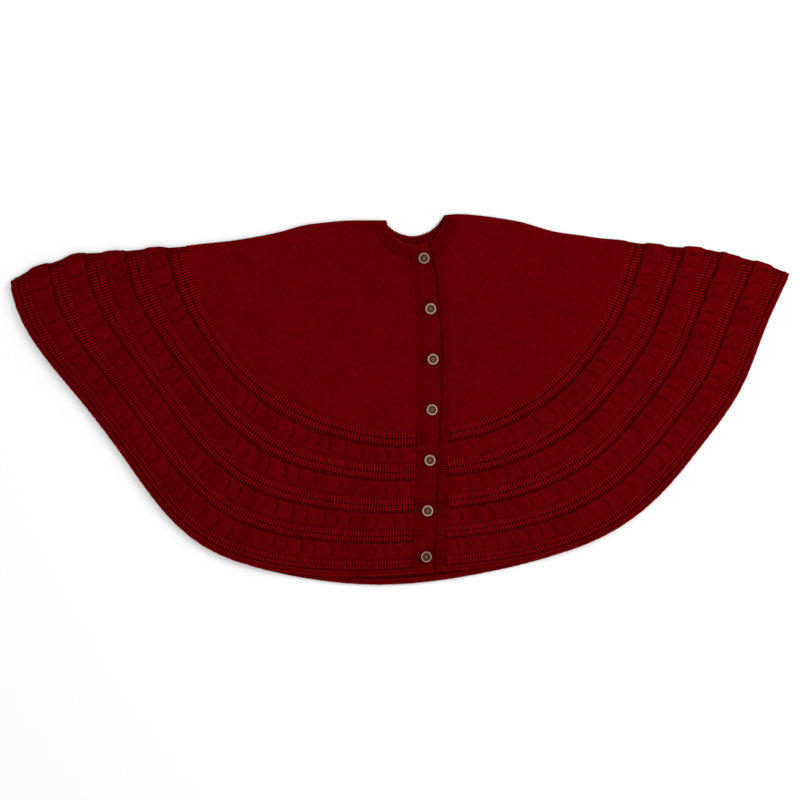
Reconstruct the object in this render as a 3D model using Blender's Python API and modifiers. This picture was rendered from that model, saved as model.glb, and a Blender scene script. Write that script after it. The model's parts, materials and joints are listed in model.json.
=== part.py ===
# A knitted tree skirt, lying flat and folded in half, buttoned down its front.
#
# Metres, +Z up. The skirt lies in the XY plane: the back on the floor, the two fronts on
# top of it, the neck towards +Y. The origin is the middle of the whole outline, on the floor.
# Outlines are worked out around the skirt's own centre, from which the fold lines and the
# hem's arc are measured, and are moved to the origin at the end.
# Angles are degrees from straight down (-Y), positive towards +X.

import math

import bmesh
import bpy
from mathutils import Matrix, Vector

# ---- driving dimensions ----

# the knitted body
HEM_RADIUS = 0.5772           # centre to hem, before the hem's waves
HEM_WAVES = (                 # the stretched knit's hem: middle angle, half width, height
    (-77.8, 10.6, 0.0500),
    (-31.2, 10.2, 0.0352),
    (-11.0, 11.5, 0.0135),
    (35.7, 13.1, 0.0231),
    (61.7, 6.4, 0.0122),
    (91.0, 10.7, 0.0500),
)
FRONT_HEM_LIFT = 0.015        # how much higher the front hem lies at the placket
FRONT_HEM_LIFT_WIDTH = 13.0   # degrees
BACK_HEM_TUCK = 0.003         # how far the back's hem hides under the front's elsewhere
LEFT_FOLD_ANGLE = 81.0
RIGHT_FOLD_ANGLE = 81.6
FOLD_INSET = 0.006            # from a fold line to the edge of the cloth beside it
CLOTH_THICKNESS = 0.004
LAYER_GAP = 0.0004            # between cloth that lies on cloth
SEAM_GAP = 0.0003             # between edges that are sewn together

# the neck
FRONT_NECK_RADIUS = 0.0453
FRONT_NECK_CENTRE = (0.0148, -0.0140)
BACK_NECK_RADIUS = 0.0527
BACK_NECK_CENTRE = (0.0108, 0.0074)
NECKBAND_WIDTH = 0.022

# the placket: its button line bows sideways between the neck and the hem
PLACKET_NECK_X = 0.0248
PLACKET_BOW_X = 0.0427
PLACKET_BOW_DROP = 0.239      # from the centre down to where the line bows furthest
PLACKET_HEM_X = 0.0322
BUTTONHOLE_BAND_WIDTH = 0.034
BUTTON_BAND_WIDTH = 0.034
BAND_THICKNESS = 0.0036
BAND_LAP = 0.004              # the buttonhole band over the left front's edge
HOLE_EDGE_MARGIN = 0.0028     # cloth left between a buttonhole and the band's free edge
BUTTON_BAND_EDGE_MARGIN = 0.006   # from the button line to the button band's inner edge

# the buttons
BUTTON_COUNT = 7
BUTTON_RADIUS = 0.0084
BUTTON_THICKNESS = 0.0036
BUTTONHOLE_CLEARANCE = 0.0022
NECK_BUTTON_INSET = 0.0208    # from the neckline down to the first button
HEM_BUTTON_INSET = 0.0251     # from the hem up to the last button
LAST_GAP_SHORTFALL = 0.007    # the last gap is this much less than the others
RIM_WIDTH = 0.0038
RECESS_DEPTH = 0.0013
SEW_HOLE_RADIUS = 0.0009
SEW_HOLE_OFFSET = 0.0014      # from the button's middle, along X and along Y
THREAD_RADIUS = 0.0005
SHANK_RADIUS = 0.0009
SHANK_FLARE = 0.0022
THREAD_GAP = 0.0003           # between the thread and the button
FOOT_GAP = 0.0004             # under the thread's foot

# ---- sizes that follow from them ----

FRONT_Z = CLOTH_THICKNESS + LAYER_GAP
FRONT_TOP_Z = FRONT_Z + CLOTH_THICKNESS
BAND_Z = FRONT_TOP_Z + LAYER_GAP
BAND_TOP_Z = BAND_Z + BAND_THICKNESS
BUTTON_Z = BAND_TOP_Z + LAYER_GAP
FOLD_Z = CLOTH_THICKNESS + LAYER_GAP / 2
FOOT_Z = FRONT_TOP_Z + FOOT_GAP
HOLE_RADIUS = BUTTON_RADIUS + BUTTONHOLE_CLEARANCE

# edges across the placket, measured from the button line
HOLE_BAND_FREE_EDGE = HOLE_RADIUS + HOLE_EDGE_MARGIN
HOLE_BAND_SEAM_EDGE = HOLE_BAND_FREE_EDGE - BUTTONHOLE_BAND_WIDTH
LEFT_FRONT_EDGE = HOLE_BAND_SEAM_EDGE + BAND_LAP
BUTTON_BAND_INNER_EDGE = -BUTTON_BAND_EDGE_MARGIN
BUTTON_BAND_OUTER_EDGE = BUTTON_BAND_INNER_EDGE + BUTTON_BAND_WIDTH
RIGHT_FRONT_EDGE = BUTTON_BAND_OUTER_EDGE + SEAM_GAP

HEM_STEP = 2.5                # degrees between the points of a hem
NECK_STEP = 9.0               # degrees between the points of a neckline
EDGE_STEP = 0.02              # between the heights that every placket edge has its points at


# ---- outlines, around the skirt's centre ----

def on_circle(centre, radius, angle):
    """The point at an angle from straight down on a circle."""
    turn = math.radians(angle)
    return Vector((centre[0] + radius * math.sin(turn), centre[1] - radius * math.cos(turn)))


def angle_of(point, centre=(0.0, 0.0)):
    return math.degrees(math.atan2(point[0] - centre[0], centre[1] - point[1]))


def hem_radius(angle):
    waves = sum(high * math.exp(-0.5 * ((angle - middle) / half) ** 2)
                for middle, half, high in HEM_WAVES)
    return HEM_RADIUS + waves


def front_hem(angle):
    lift = FRONT_HEM_LIFT * math.exp(-0.5 * (angle / FRONT_HEM_LIFT_WIDTH) ** 2)
    return hem_radius(angle) - lift


def back_hem(angle):
    hidden = 1.0 - math.exp(-0.5 * (angle / FRONT_HEM_LIFT_WIDTH) ** 2)
    return hem_radius(angle) - BACK_HEM_TUCK * hidden


def placket_x(y):
    """The button line: it bows out below the neck and comes back towards the hem."""
    neck_y = FRONT_NECK_CENTRE[1] - FRONT_NECK_RADIUS
    hem_y = -front_hem(0.0)
    if y > -PLACKET_BOW_DROP:
        share = (y + PLACKET_BOW_DROP) / (neck_y + PLACKET_BOW_DROP)
        return PLACKET_BOW_X + (PLACKET_NECK_X - PLACKET_BOW_X) * share ** 2
    share = min((y + PLACKET_BOW_DROP) / (hem_y + PLACKET_BOW_DROP), 1.0)
    return PLACKET_BOW_X + (PLACKET_HEM_X - PLACKET_BOW_X) * share ** 2 * (3 - 2 * share)


def edge_at_hem(offset):
    """Where a line beside the button line meets the front hem."""
    y = -front_hem(0.0)
    for _ in range(30):
        x = placket_x(y) + offset
        y = -math.sqrt(front_hem(angle_of((x, y))) ** 2 - x ** 2)
    return Vector((placket_x(y) + offset, y))


def edge_at_neck(offset, radius):
    """Where a line beside the button line meets a circle around the front neck."""
    y = FRONT_NECK_CENTRE[1] - radius
    for _ in range(30):
        across = placket_x(y) + offset - FRONT_NECK_CENTRE[0]
        y = FRONT_NECK_CENTRE[1] - math.sqrt(radius ** 2 - across ** 2)
    return Vector((placket_x(y) + offset, y))


def placket_edge(offset, start, end):
    """The points of a line beside the button line, from one point on it to another."""
    low, high = sorted((start.y, end.y))
    first = math.ceil(low / EDGE_STEP + 0.2)
    last = math.floor(high / EDGE_STEP - 0.2)
    heights = [i * EDGE_STEP for i in range(first, last + 1)]
    if start.y > end.y:
        heights.reverse()
    return [start] + [Vector((placket_x(y) + offset, y)) for y in heights] + [end]


def fold_direction(side):
    """Along a fold line, outwards: side is -1 for the left fold and 1 for the right."""
    angle = LEFT_FOLD_ANGLE if side < 0 else RIGHT_FOLD_ANGLE
    return on_circle((0.0, 0.0), 1.0, side * angle)


def fold_at_neck(side, centre, radius):
    """Where the cloth's edge along a fold meets a circle around the neck."""
    along = fold_direction(side)
    inward = Vector((along.y, -along.x)) * side
    start = inward * FOLD_INSET - Vector(centre)
    half = start.dot(along)
    reach = -half + math.sqrt(half ** 2 - start.length_squared + radius ** 2)
    return inward * FOLD_INSET + along * reach


def fold_at_hem(side, radius_at):
    """Where the cloth's edge along a fold meets the hem."""
    fold = LEFT_FOLD_ANGLE if side < 0 else RIGHT_FOLD_ANGLE
    angle = fold
    for _ in range(30):
        angle = fold - math.degrees(math.asin(FOLD_INSET / radius_at(side * angle)))
    return on_circle((0.0, 0.0), radius_at(side * angle), side * angle)


def arc(centre, radius_at, start, end, step):
    """Points along an arc from one point to another, both included."""
    first = angle_of(start, centre)
    last = angle_of(end, centre)
    count = max(2, math.ceil(abs(last - first) / step))
    angles = [first + (last - first) * i / count for i in range(1, count)]
    return [start] + [on_circle(centre, radius_at(a), a) for a in angles] + [end]


def ring(radius):
    return lambda angle: radius


def back_panel_outline():
    outer = BACK_NECK_RADIUS + NECKBAND_WIDTH + SEAM_GAP
    hem = arc((0.0, 0.0), back_hem, fold_at_hem(-1, back_hem), fold_at_hem(1, back_hem), HEM_STEP)
    right_neck = fold_at_neck(1, BACK_NECK_CENTRE, outer)
    left_neck = fold_at_neck(-1, BACK_NECK_CENTRE, outer)
    return hem + arc(BACK_NECK_CENTRE, ring(outer), right_neck, left_neck, NECK_STEP)


def front_panel_outline(side, edge_offset):
    outer = FRONT_NECK_RADIUS + NECKBAND_WIDTH + SEAM_GAP
    hem_corner = edge_at_hem(edge_offset)
    neck_corner = edge_at_neck(edge_offset, outer)
    hem = arc((0.0, 0.0), front_hem, fold_at_hem(side, front_hem), hem_corner, HEM_STEP)
    edge = placket_edge(edge_offset, hem_corner, neck_corner)
    fold_corner = fold_at_neck(side, FRONT_NECK_CENTRE, outer)
    return hem[:-1] + edge[:-1] + arc(FRONT_NECK_CENTRE, ring(outer), neck_corner, fold_corner,
                                      NECK_STEP)


def neckband_outline(centre, radius, inner_ends, outer_ends):
    inner = arc(centre, ring(radius), inner_ends[0], inner_ends[1], NECK_STEP)
    outer = arc(centre, ring(radius + NECKBAND_WIDTH), outer_ends[1], outer_ends[0], NECK_STEP)
    return inner + outer


def back_neckband_outline():
    ends = [[fold_at_neck(side, BACK_NECK_CENTRE, radius) for side in (-1, 1)]
            for radius in (BACK_NECK_RADIUS, BACK_NECK_RADIUS + NECKBAND_WIDTH)]
    return neckband_outline(BACK_NECK_CENTRE, BACK_NECK_RADIUS, ends[0], ends[1])


def front_neckband_outline(side, edge_offset):
    ends = [[fold_at_neck(side, FRONT_NECK_CENTRE, radius), edge_at_neck(edge_offset, radius)]
            for radius in (FRONT_NECK_RADIUS, FRONT_NECK_RADIUS + NECKBAND_WIDTH)]
    return neckband_outline(FRONT_NECK_CENTRE, FRONT_NECK_RADIUS, ends[0], ends[1])


def band_outline(near_offset, far_offset):
    """A placket band, from the neckline to the hem, between two lines beside the button line."""
    near_hem, far_hem = edge_at_hem(near_offset), edge_at_hem(far_offset)
    near_neck = edge_at_neck(near_offset, FRONT_NECK_RADIUS)
    far_neck = edge_at_neck(far_offset, FRONT_NECK_RADIUS)
    hem = arc((0.0, 0.0), front_hem, near_hem, far_hem, HEM_STEP)
    neck = arc(FRONT_NECK_CENTRE, ring(FRONT_NECK_RADIUS), far_neck, near_neck, NECK_STEP)
    return (hem[:-1] + placket_edge(far_offset, far_hem, far_neck)[:-1]
            + neck[:-1] + placket_edge(near_offset, near_neck, near_hem)[:-1])


def button_places():
    """The buttons' middles, evenly spaced but for the last gap, which is a little less."""
    top = FRONT_NECK_CENTRE[1] - FRONT_NECK_RADIUS - NECK_BUTTON_INSET
    bottom = edge_at_hem(0.0).y + HEM_BUTTON_INSET
    pitch = (top - bottom + LAST_GAP_SHORTFALL) / (BUTTON_COUNT - 1)
    heights = [top - pitch * i for i in range(BUTTON_COUNT - 1)] + [bottom]
    return [Vector((placket_x(y), y)) for y in heights]


# ---- Blender helpers ----

def clear_scene():
    for thing in list(bpy.data.objects):
        bpy.data.objects.remove(thing, do_unlink=True)


def new_collection(name):
    collection = bpy.data.collections.new(name)
    bpy.context.scene.collection.children.link(collection)
    return collection


def new_material(name, colour, roughness):
    material = bpy.data.materials.new(name)
    material.use_nodes = True
    shader = material.node_tree.nodes["Principled BSDF"]
    shader.inputs["Base Color"].default_value = (*colour, 1.0)
    shader.inputs["Roughness"].default_value = roughness
    shader.inputs["Metallic"].default_value = 0.0
    return material


def add_object(name, data, collection, location=(0.0, 0.0, 0.0)):
    thing = bpy.data.objects.new(name, data)
    thing.location = location
    collection.objects.link(thing)
    return thing


def attach(thing, parent):
    """Parents a piece and leaves it where it is."""
    thing.parent = parent
    thing.matrix_parent_inverse = Matrix.Translation(-Vector(parent.location))


def cloth_curve(name, outline, holes, thickness):
    """A flat sheet: a filled 2D outline with round holes, thickened both ways."""
    curve = bpy.data.curves.new(name, "CURVE")
    curve.dimensions = "2D"
    curve.fill_mode = "BOTH"
    curve.extrude = thickness / 2
    for points in [outline] + holes:
        spline = curve.splines.new("POLY")
        spline.points.add(len(points) - 1)
        for target, point in zip(spline.points, points):
            target.co = (point[0], point[1], 0.0, 1.0)
        spline.use_cyclic_u = True
    return curve


def add_cloth(name, outline, shift, bottom, thickness, material, collection, holes=()):
    moved = [point + shift for point in outline]
    moved_holes = [[point + shift for point in hole] for hole in holes]
    curve = cloth_curve(name, moved, moved_holes, thickness)
    curve.materials.append(material)
    return add_object(name, curve, collection, (0.0, 0.0, bottom + thickness / 2))


def cylinder(mesh, radius, bottom, top, x, y, sides):
    place = Matrix.Translation((x, y, (bottom + top) / 2))
    bmesh.ops.create_cone(mesh, cap_ends=True, segments=sides, radius1=radius, radius2=radius,
                          depth=top - bottom, matrix=place)


def turned(name, profile, steps):
    """A turned solid: the profile runs from the top, down the outer side, to the bottom."""
    mesh = bpy.data.meshes.new(name)
    edges = [(i, i + 1) for i in range(len(profile) - 1)]
    mesh.from_pydata([(radius, 0.0, z) for radius, z in profile], edges, [])
    thing = bpy.data.objects.new(name, mesh)
    screw = thing.modifiers.new("turn", "SCREW")
    screw.steps = steps
    screw.render_steps = steps
    screw.use_merge_vertices = True
    screw.merge_threshold = 0.00001
    screw.use_normal_calculate = True
    return thing


def apply_modifiers(thing, collection):
    """The finished mesh of a piece, which its copies share."""
    collection.objects.link(thing)
    bpy.context.view_layer.update()
    evaluated = thing.evaluated_get(bpy.context.evaluated_depsgraph_get())
    mesh = bpy.data.meshes.new_from_object(evaluated)
    mesh.name = thing.name
    bpy.data.objects.remove(thing, do_unlink=True)
    return mesh


def smooth(mesh, sharp_angle):
    mesh.shade_smooth()
    mesh.set_sharp_from_angle(angle=math.radians(sharp_angle))


def add_cutter(name, cutters):
    mesh = bpy.data.meshes.new(name)
    thing = add_object(name, mesh, cutters)
    thing.hide_render = True
    thing.display_type = "WIRE"
    return thing


def boolean(thing, operation, other):
    modifier = thing.modifiers.new(operation.lower(), "BOOLEAN")
    modifier.operation = operation
    modifier.solver = "EXACT"
    modifier.object = other


# ---- the button and its thread, around the thread's foot ----

def sew_places():
    return [(x * SEW_HOLE_OFFSET, y * SEW_HOLE_OFFSET) for x in (-1, 1) for y in (-1, 1)]


def button_mesh(material, pieces, cutters):
    bottom = BUTTON_Z - FOOT_Z
    top = bottom + BUTTON_THICKNESS
    recess = top - RECESS_DEPTH
    waist = bottom + BUTTON_THICKNESS * 0.55
    dish = BUTTON_RADIUS - RIM_WIDTH
    profile = [
        (0.0, recess),
        (dish - 0.0008, recess),
        (dish, recess + RECESS_DEPTH * 0.45),
        (dish + RIM_WIDTH * 0.35, top - RECESS_DEPTH * 0.1),
        (dish + RIM_WIDTH * 0.6, top),
        (dish + RIM_WIDTH * 0.88, top - RECESS_DEPTH * 0.35),
        (BUTTON_RADIUS, waist),
        (BUTTON_RADIUS * 0.95, bottom + BUTTON_THICKNESS * 0.25),
        (BUTTON_RADIUS * 0.72, bottom),
        (0.0, bottom),
    ]
    thing = turned("button", profile, 24)
    holes = add_cutter("sewing_holes", cutters)
    mesh = bmesh.new()
    for x, y in sew_places():
        cylinder(mesh, SEW_HOLE_RADIUS, bottom - 0.001, top + 0.001, x, y, 10)
    mesh.to_mesh(holes.data)
    mesh.free()
    boolean(thing, "DIFFERENCE", holes)
    result = apply_modifiers(thing, pieces)
    result.materials.append(material)
    smooth(result, 40.0)
    return result


def thread_mesh(material, pieces, cutters):
    """A wound shank under the button, four strands through its holes, two bars across it."""
    bottom = BUTTON_Z - FOOT_Z
    flare_top = bottom - THREAD_GAP
    flare_bottom = flare_top * 0.6
    recess = bottom + BUTTON_THICKNESS - RECESS_DEPTH
    bar_middle = recess + THREAD_GAP + THREAD_RADIUS
    profile = [
        (0.0, flare_top),
        (SHANK_FLARE, flare_top),
        (SHANK_RADIUS, flare_bottom),
        (SHANK_RADIUS, 0.0),
        (0.0, 0.0),
    ]
    thing = turned("button_thread", profile, 12)
    strands = add_cutter("sewing_strands", cutters)
    mesh = bmesh.new()
    for x, y in sew_places():
        cylinder(mesh, THREAD_RADIUS, flare_top - THREAD_GAP, bar_middle, x, y, 8)
    mesh.to_mesh(strands.data)
    mesh.free()
    boolean(thing, "UNION", strands)
    for side in (-1, 1):
        bar = add_cutter(f"sewing_bar_{'left' if side < 0 else 'right'}", cutters)
        mesh = bmesh.new()
        size = (THREAD_RADIUS * 2.2, (SEW_HOLE_OFFSET + THREAD_RADIUS) * 2.1, THREAD_RADIUS * 2)
        place = Matrix.Translation((side * SEW_HOLE_OFFSET, 0.0, bar_middle))
        bmesh.ops.create_cube(mesh, size=1.0, matrix=place @ Matrix.Diagonal((*size, 1.0)))
        mesh.to_mesh(bar.data)
        mesh.free()
        boolean(thing, "UNION", bar)
    result = apply_modifiers(thing, pieces)
    result.materials.append(material)
    smooth(result, 40.0)
    return result


# ---- the skirt ----

def build():
    clear_scene()
    pieces = new_collection("tree_skirt")
    cutters = new_collection("cutters")
    yarn = new_material("red_yarn", (0.115, 0.0006, 0.0018), 0.95)
    rib_yarn = new_material("red_rib_yarn", (0.100, 0.0006, 0.0016), 0.95)
    horn = new_material("tan_horn", (0.36, 0.22, 0.14), 0.35)
    sewing = new_material("red_thread", (0.13, 0.001, 0.003), 0.8)

    back = back_panel_outline()
    left = front_panel_outline(-1, LEFT_FRONT_EDGE)
    right = front_panel_outline(1, RIGHT_FRONT_EDGE)
    back_neck = back_neckband_outline()
    left_neck = front_neckband_outline(-1, LEFT_FRONT_EDGE)
    right_neck = front_neckband_outline(1, RIGHT_FRONT_EDGE)

    every = back + left + right + back_neck + left_neck + right_neck
    lowest = Vector((min(p.x for p in every), min(p.y for p in every)))
    highest = Vector((max(p.x for p in every), max(p.y for p in every)))
    shift = -(lowest + highest) / 2

    folds = {}
    for name, side in (("left_fold_axis", -1), ("right_fold_axis", 1)):
        folds[side] = add_object(name, None, pieces, (shift.x, shift.y, FOLD_Z))

    add_cloth("back_panel", back, shift, 0.0, CLOTH_THICKNESS, yarn, pieces)
    add_cloth("back_neckband", back_neck, shift, 0.0, CLOTH_THICKNESS, rib_yarn, pieces)
    fronts = (
        ("left_front_panel", left, yarn, -1),
        ("right_front_panel", right, yarn, 1),
        ("left_neckband", left_neck, rib_yarn, -1),
        ("right_neckband", right_neck, rib_yarn, 1),
    )
    for name, outline, material, side in fronts:
        piece = add_cloth(name, outline, shift, FRONT_Z, CLOTH_THICKNESS, material, pieces)
        attach(piece, folds[side])

    places = button_places()
    under = band_outline(BUTTON_BAND_INNER_EDGE, BUTTON_BAND_OUTER_EDGE)
    button_band = add_cloth("button_band", under, shift, FRONT_Z, CLOTH_THICKNESS, rib_yarn, pieces)
    attach(button_band, folds[1])

    over = band_outline(HOLE_BAND_SEAM_EDGE, HOLE_BAND_FREE_EDGE)
    holes = [[on_circle(place, HOLE_RADIUS, -15.0 * i) for i in range(24)] for place in places]
    hole_band = add_cloth("buttonhole_band", over, shift, BAND_Z, BAND_THICKNESS, rib_yarn, pieces,
                          holes)
    attach(hole_band, folds[-1])

    button = button_mesh(horn, pieces, cutters)
    thread = thread_mesh(sewing, pieces, cutters)
    for number, place in enumerate(places, start=1):
        foot = (place.x + shift.x, place.y + shift.y, FOOT_Z)
        head = add_object(f"button_{number}", button, pieces, foot)
        attach(head, folds[1])
        attach(add_object(f"button_thread_{number}", thread, pieces, foot), folds[1])
    bpy.context.view_layer.update()


build()
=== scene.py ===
import json
import math

import bmesh
import bpy
import numpy as np
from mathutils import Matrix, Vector
from mathutils.bvhtree import BVHTree


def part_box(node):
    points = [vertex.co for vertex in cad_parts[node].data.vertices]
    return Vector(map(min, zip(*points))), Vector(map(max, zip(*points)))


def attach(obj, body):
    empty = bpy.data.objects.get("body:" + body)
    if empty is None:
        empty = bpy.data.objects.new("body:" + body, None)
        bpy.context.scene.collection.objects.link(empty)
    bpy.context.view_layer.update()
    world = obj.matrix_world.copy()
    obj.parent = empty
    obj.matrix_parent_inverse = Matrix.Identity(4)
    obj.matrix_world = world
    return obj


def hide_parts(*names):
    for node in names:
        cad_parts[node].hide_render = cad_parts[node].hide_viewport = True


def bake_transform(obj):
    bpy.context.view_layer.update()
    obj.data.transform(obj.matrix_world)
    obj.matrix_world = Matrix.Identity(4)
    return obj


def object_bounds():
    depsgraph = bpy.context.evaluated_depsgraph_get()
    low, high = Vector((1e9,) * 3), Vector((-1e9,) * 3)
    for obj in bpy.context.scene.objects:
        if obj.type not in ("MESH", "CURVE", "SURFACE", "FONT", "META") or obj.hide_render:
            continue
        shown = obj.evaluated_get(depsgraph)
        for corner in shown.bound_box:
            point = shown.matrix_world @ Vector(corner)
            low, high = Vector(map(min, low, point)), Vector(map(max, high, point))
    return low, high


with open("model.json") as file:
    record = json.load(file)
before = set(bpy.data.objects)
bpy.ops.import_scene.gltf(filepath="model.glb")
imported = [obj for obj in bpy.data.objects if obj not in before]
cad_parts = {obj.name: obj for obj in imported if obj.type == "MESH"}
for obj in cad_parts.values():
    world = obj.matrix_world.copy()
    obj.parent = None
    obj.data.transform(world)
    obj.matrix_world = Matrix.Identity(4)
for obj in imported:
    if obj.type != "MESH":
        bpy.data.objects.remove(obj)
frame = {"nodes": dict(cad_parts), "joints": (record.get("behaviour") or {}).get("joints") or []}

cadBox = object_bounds()

# what the frame says
joints = {joint["name"]: joint for joint in frame["joints"]}
centre = Vector(joints["left_fold"]["pos_m"])          # both folds start here
foldZ = centre.z
halfTurn = math.pi


def foldAngle(jointName):                              # radians from straight down, without a sign
    axis = joints[jointName]["axis"]
    return math.atan2(abs(axis[0]), abs(axis[1]))


leftFold = foldAngle("left_fold")
rightFold = foldAngle("right_fold")


def nodeTree(nodeName):
    mesh = frame["nodes"][nodeName].data
    points = [vertex.co.copy() for vertex in mesh.vertices]
    return BVHTree.FromPolygons(points, [tuple(face.vertices) for face in mesh.polygons])


def heights(nodeName):                                 # lowest and highest z of a node
    low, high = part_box(nodeName)
    return low[2], high[2]


def radiiOf(nodeName, steps=240):
    # inner and outer edge of a flat node, as radii around the centre at many angles
    tree = nodeTree(nodeName)
    low, high = heights(nodeName)
    middle = (low + high) / 2
    rows = []
    for i in range(steps + 1):
        angle = -halfTurn / 2 + halfTurn * i / steps
        outward = Vector((math.sin(angle), -math.cos(angle), 0))
        start = Vector((centre.x, centre.y, middle))
        first = tree.ray_cast(start, outward)
        last = tree.ray_cast(start + outward * 2, -outward)
        if first[0] is not None and last[0] is not None and 2 - last[3] - first[3] > 0.0015:
            rows.append((angle, first[3], 2 - last[3]))
    return np.array(rows)


def circleThrough(points):
    (ax, ay), (bx, by), (cx, cy) = points
    d = 2 * (ax * (by - cy) + bx * (cy - ay) + cx * (ay - by))
    a2, b2, c2 = ax * ax + ay * ay, bx * bx + by * by, cx * cx + cy * cy
    x = (a2 * (by - cy) + b2 * (cy - ay) + c2 * (ay - by)) / d
    y = (a2 * (cx - bx) + b2 * (ax - cx) + c2 * (bx - ax)) / d
    return x, y, math.hypot(ax - x, ay - y)


def neckCircle(nodeName, column, angles):
    # the circle around the neck that a node's inner or outer edge follows, around the centre
    radii = radiiOf(nodeName)
    found = [(np.interp(a, radii[:, 0], radii[:, column]), a) for a in angles]
    return circleThrough([(r * math.sin(a), -r * math.cos(a)) for r, a in found])


def radiusToCircle(circle, angle):
    # how far the circle is from the centre, in a direction
    x, y, radius = circle
    along = x * np.sin(angle) - y * np.cos(angle)
    return along + np.sqrt(along ** 2 - x * x - y * y + radius ** 2)


frontNodes = ["left_front_panel", "buttonhole_band", "button_band", "right_front_panel"]
hemAngles = np.linspace(-halfTurn / 2, halfTurn / 2, 481)


def hemOf(nodeNames):
    # the hem's radius at each of hemAngles, the furthest that any of the nodes reaches
    reach = np.zeros_like(hemAngles)
    for nodeName in nodeNames:
        rows = radiiOf(nodeName, 480)
        inside = (hemAngles >= rows[0, 0]) & (hemAngles <= rows[-1, 0])
        reach[inside] = np.maximum(reach[inside],
                                   np.interp(hemAngles[inside], rows[:, 0], rows[:, 2]))
    known = reach > 0.5
    return np.interp(hemAngles, hemAngles[known], reach[known])


frontHem = hemOf(frontNodes)
backHem = hemOf(["back_panel"])
yokeCircle = neckCircle("left_front_panel", 1, (-1.2, -0.7, -0.1))
neckline = neckCircle("left_neckband", 1, (-1.2, -0.7, -0.1))
backYokeCircle = neckCircle("back_panel", 1, (-1.2, 0.0, 1.2))
backNeckline = neckCircle("back_neckband", 1, (-1.2, 0.0, 1.2))


def edgeOf(nodeName, side, steps=160):
    # a long edge of a placket node: radius and angle around the centre, then x and y
    tree = nodeTree(nodeName)
    low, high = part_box(nodeName)
    middle = (low[2] + high[2]) / 2
    rows = []
    for i in range(steps + 1):
        y = high[1] + (low[1] - high[1]) * (i + 0.5) / (steps + 1)
        hit = tree.ray_cast(Vector((side * 2, y, middle)), Vector((-side, 0, 0)))
        if hit[0] is None:
            continue
        across, down = hit[0].x - centre.x, centre.y - y
        radius, angle = math.hypot(across, down), math.atan2(across, down)
        circle = neckline if "band" in nodeName else yokeCircle
        atNeck = math.hypot(across - circle[0], -down - circle[1]) < circle[2] + 0.0008
        atHem = radius > np.interp(angle, hemAngles, frontHem) - 0.0008
        if not atNeck and not atHem:
            rows.append((radius, angle, hit[0].x, y))
    rows = np.array(rows)
    return rows[np.argsort(rows[:, 0])]


print("frame read: centre", tuple(round(v, 4) for v in centre), "folds", leftFold, rightFold)

# the knit, by how far out it is
knit = {
    "borderStart": 0.3466,        # radius where the plain yoke ends
    "stitch": 0.0031,             # one knit stitch across
    "lacePitch": 0.0046,          # one eyelet to the next
    "cablePitch": 0.0222,         # one crossing to the next
    "cableHeight": 0.0030,
    "cableDrift": 0.0030,
    "stagger": 0.004,             # shift of the pattern from one stretch to the next
    "borderWidth": 0.245,         # yoke to hem, in the mean
    "laceSink": 0.0019,
    "ribHeight": 0.0012,
    "ribsAtHem": 1.5,
    "edgeRound": 0.0025,
    "inset": 0.0006,              # the cloth's mean face, under the frame's
    "skin": 0.0001,               # its underside, above the frame's
    "caught": 0.0012,             # how far an edge reaches under the band sewn to it
    "unevenHeight": 0.0006,
    "wobble": 0.0016,
}
# share of the border where each stretch ends, its kind, and its rows of mesh
stretches = [
    (0.113, "lace", 9), (0.233, "cable", 15), (0.347, "lace", 9), (0.467, "cable", 15),
    (0.567, "lace", 8), (0.687, "cable", 15), (0.773, "lace", 7), (0.893, "cable", 15),
    (0.962, "lace", 6), (1.0, "hem", 7),
]
# where the rows of eyelets lie across a lace stretch, half their height, and how open they are
laceRows = ((0.10, 0.055, 0.50), (0.31, 0.050, 0.35), (0.52, 0.080, 1.0), (0.73, 0.050, 0.35),
            (0.93, 0.075, 0.95))
kindNumber = {"lace": 1.0, "cable": 2.0, "hem": 3.0}
neckRibs = {"height": 0.0013, "pitch": 0.0049, "rows": 10, "backShade": 0.40}


def easedStep(x, low, high):
    t = np.clip((x - low) / (high - low), 0, 1)
    return t * t * (3 - 2 * t)


def taper(radius, inner, outer, width):
    # 0 at a sheet's inner and outer edge, 1 where it is further in than the width
    return easedStep(radius - inner, -0.0001, width) * easedStep(outer - radius, -0.0001, width)


def onPlane(radius, angle):
    # x and y of a place given around the centre
    return centre.x + radius * np.sin(angle), centre.y - radius * np.cos(angle)


def everyFew(count, step):
    # every few rows of a grid, and its last one
    return [*range(0, count - 1, step), count - 1]


def wobbleAt(angle, seed):
    return (0.5 * np.sin(7.3 * angle + seed) + 0.35 * np.sin(17.1 * angle + 2.1 * seed)
            + 0.25 * np.sin(41.7 * angle + 3.3 * seed))


def driftOf(angle, index):
    # how far a cable's crossings stray from even steps
    isCable = np.isin(index, [i for i, stretch in enumerate(stretches) if stretch[1] == "cable"])
    stray = np.sin(23 * angle + 2.1 * index) + 0.6 * np.sin(57 * angle + 1.3 * index)
    return knit["cableDrift"] * stray * isCable


def cableRelief(along, across):
    # pillows that lean across the band, with a curved groove where one dives under the next
    v = 2 * across - 1
    q = along / knit["cablePitch"] - 0.10 * v + 0.34 * v * v
    d = np.abs(q - np.round(q))
    groove = np.exp(-(d / 0.085) ** 2) * (1 - 0.45 * v * v)
    body = 0.70 + 0.30 * np.sqrt(np.clip(2 * d, 0, 1))
    edge = np.sqrt(np.clip(1 - np.abs(v) ** 2.4, 0, 1))
    return edge * (body - 0.42 * groove)


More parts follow.
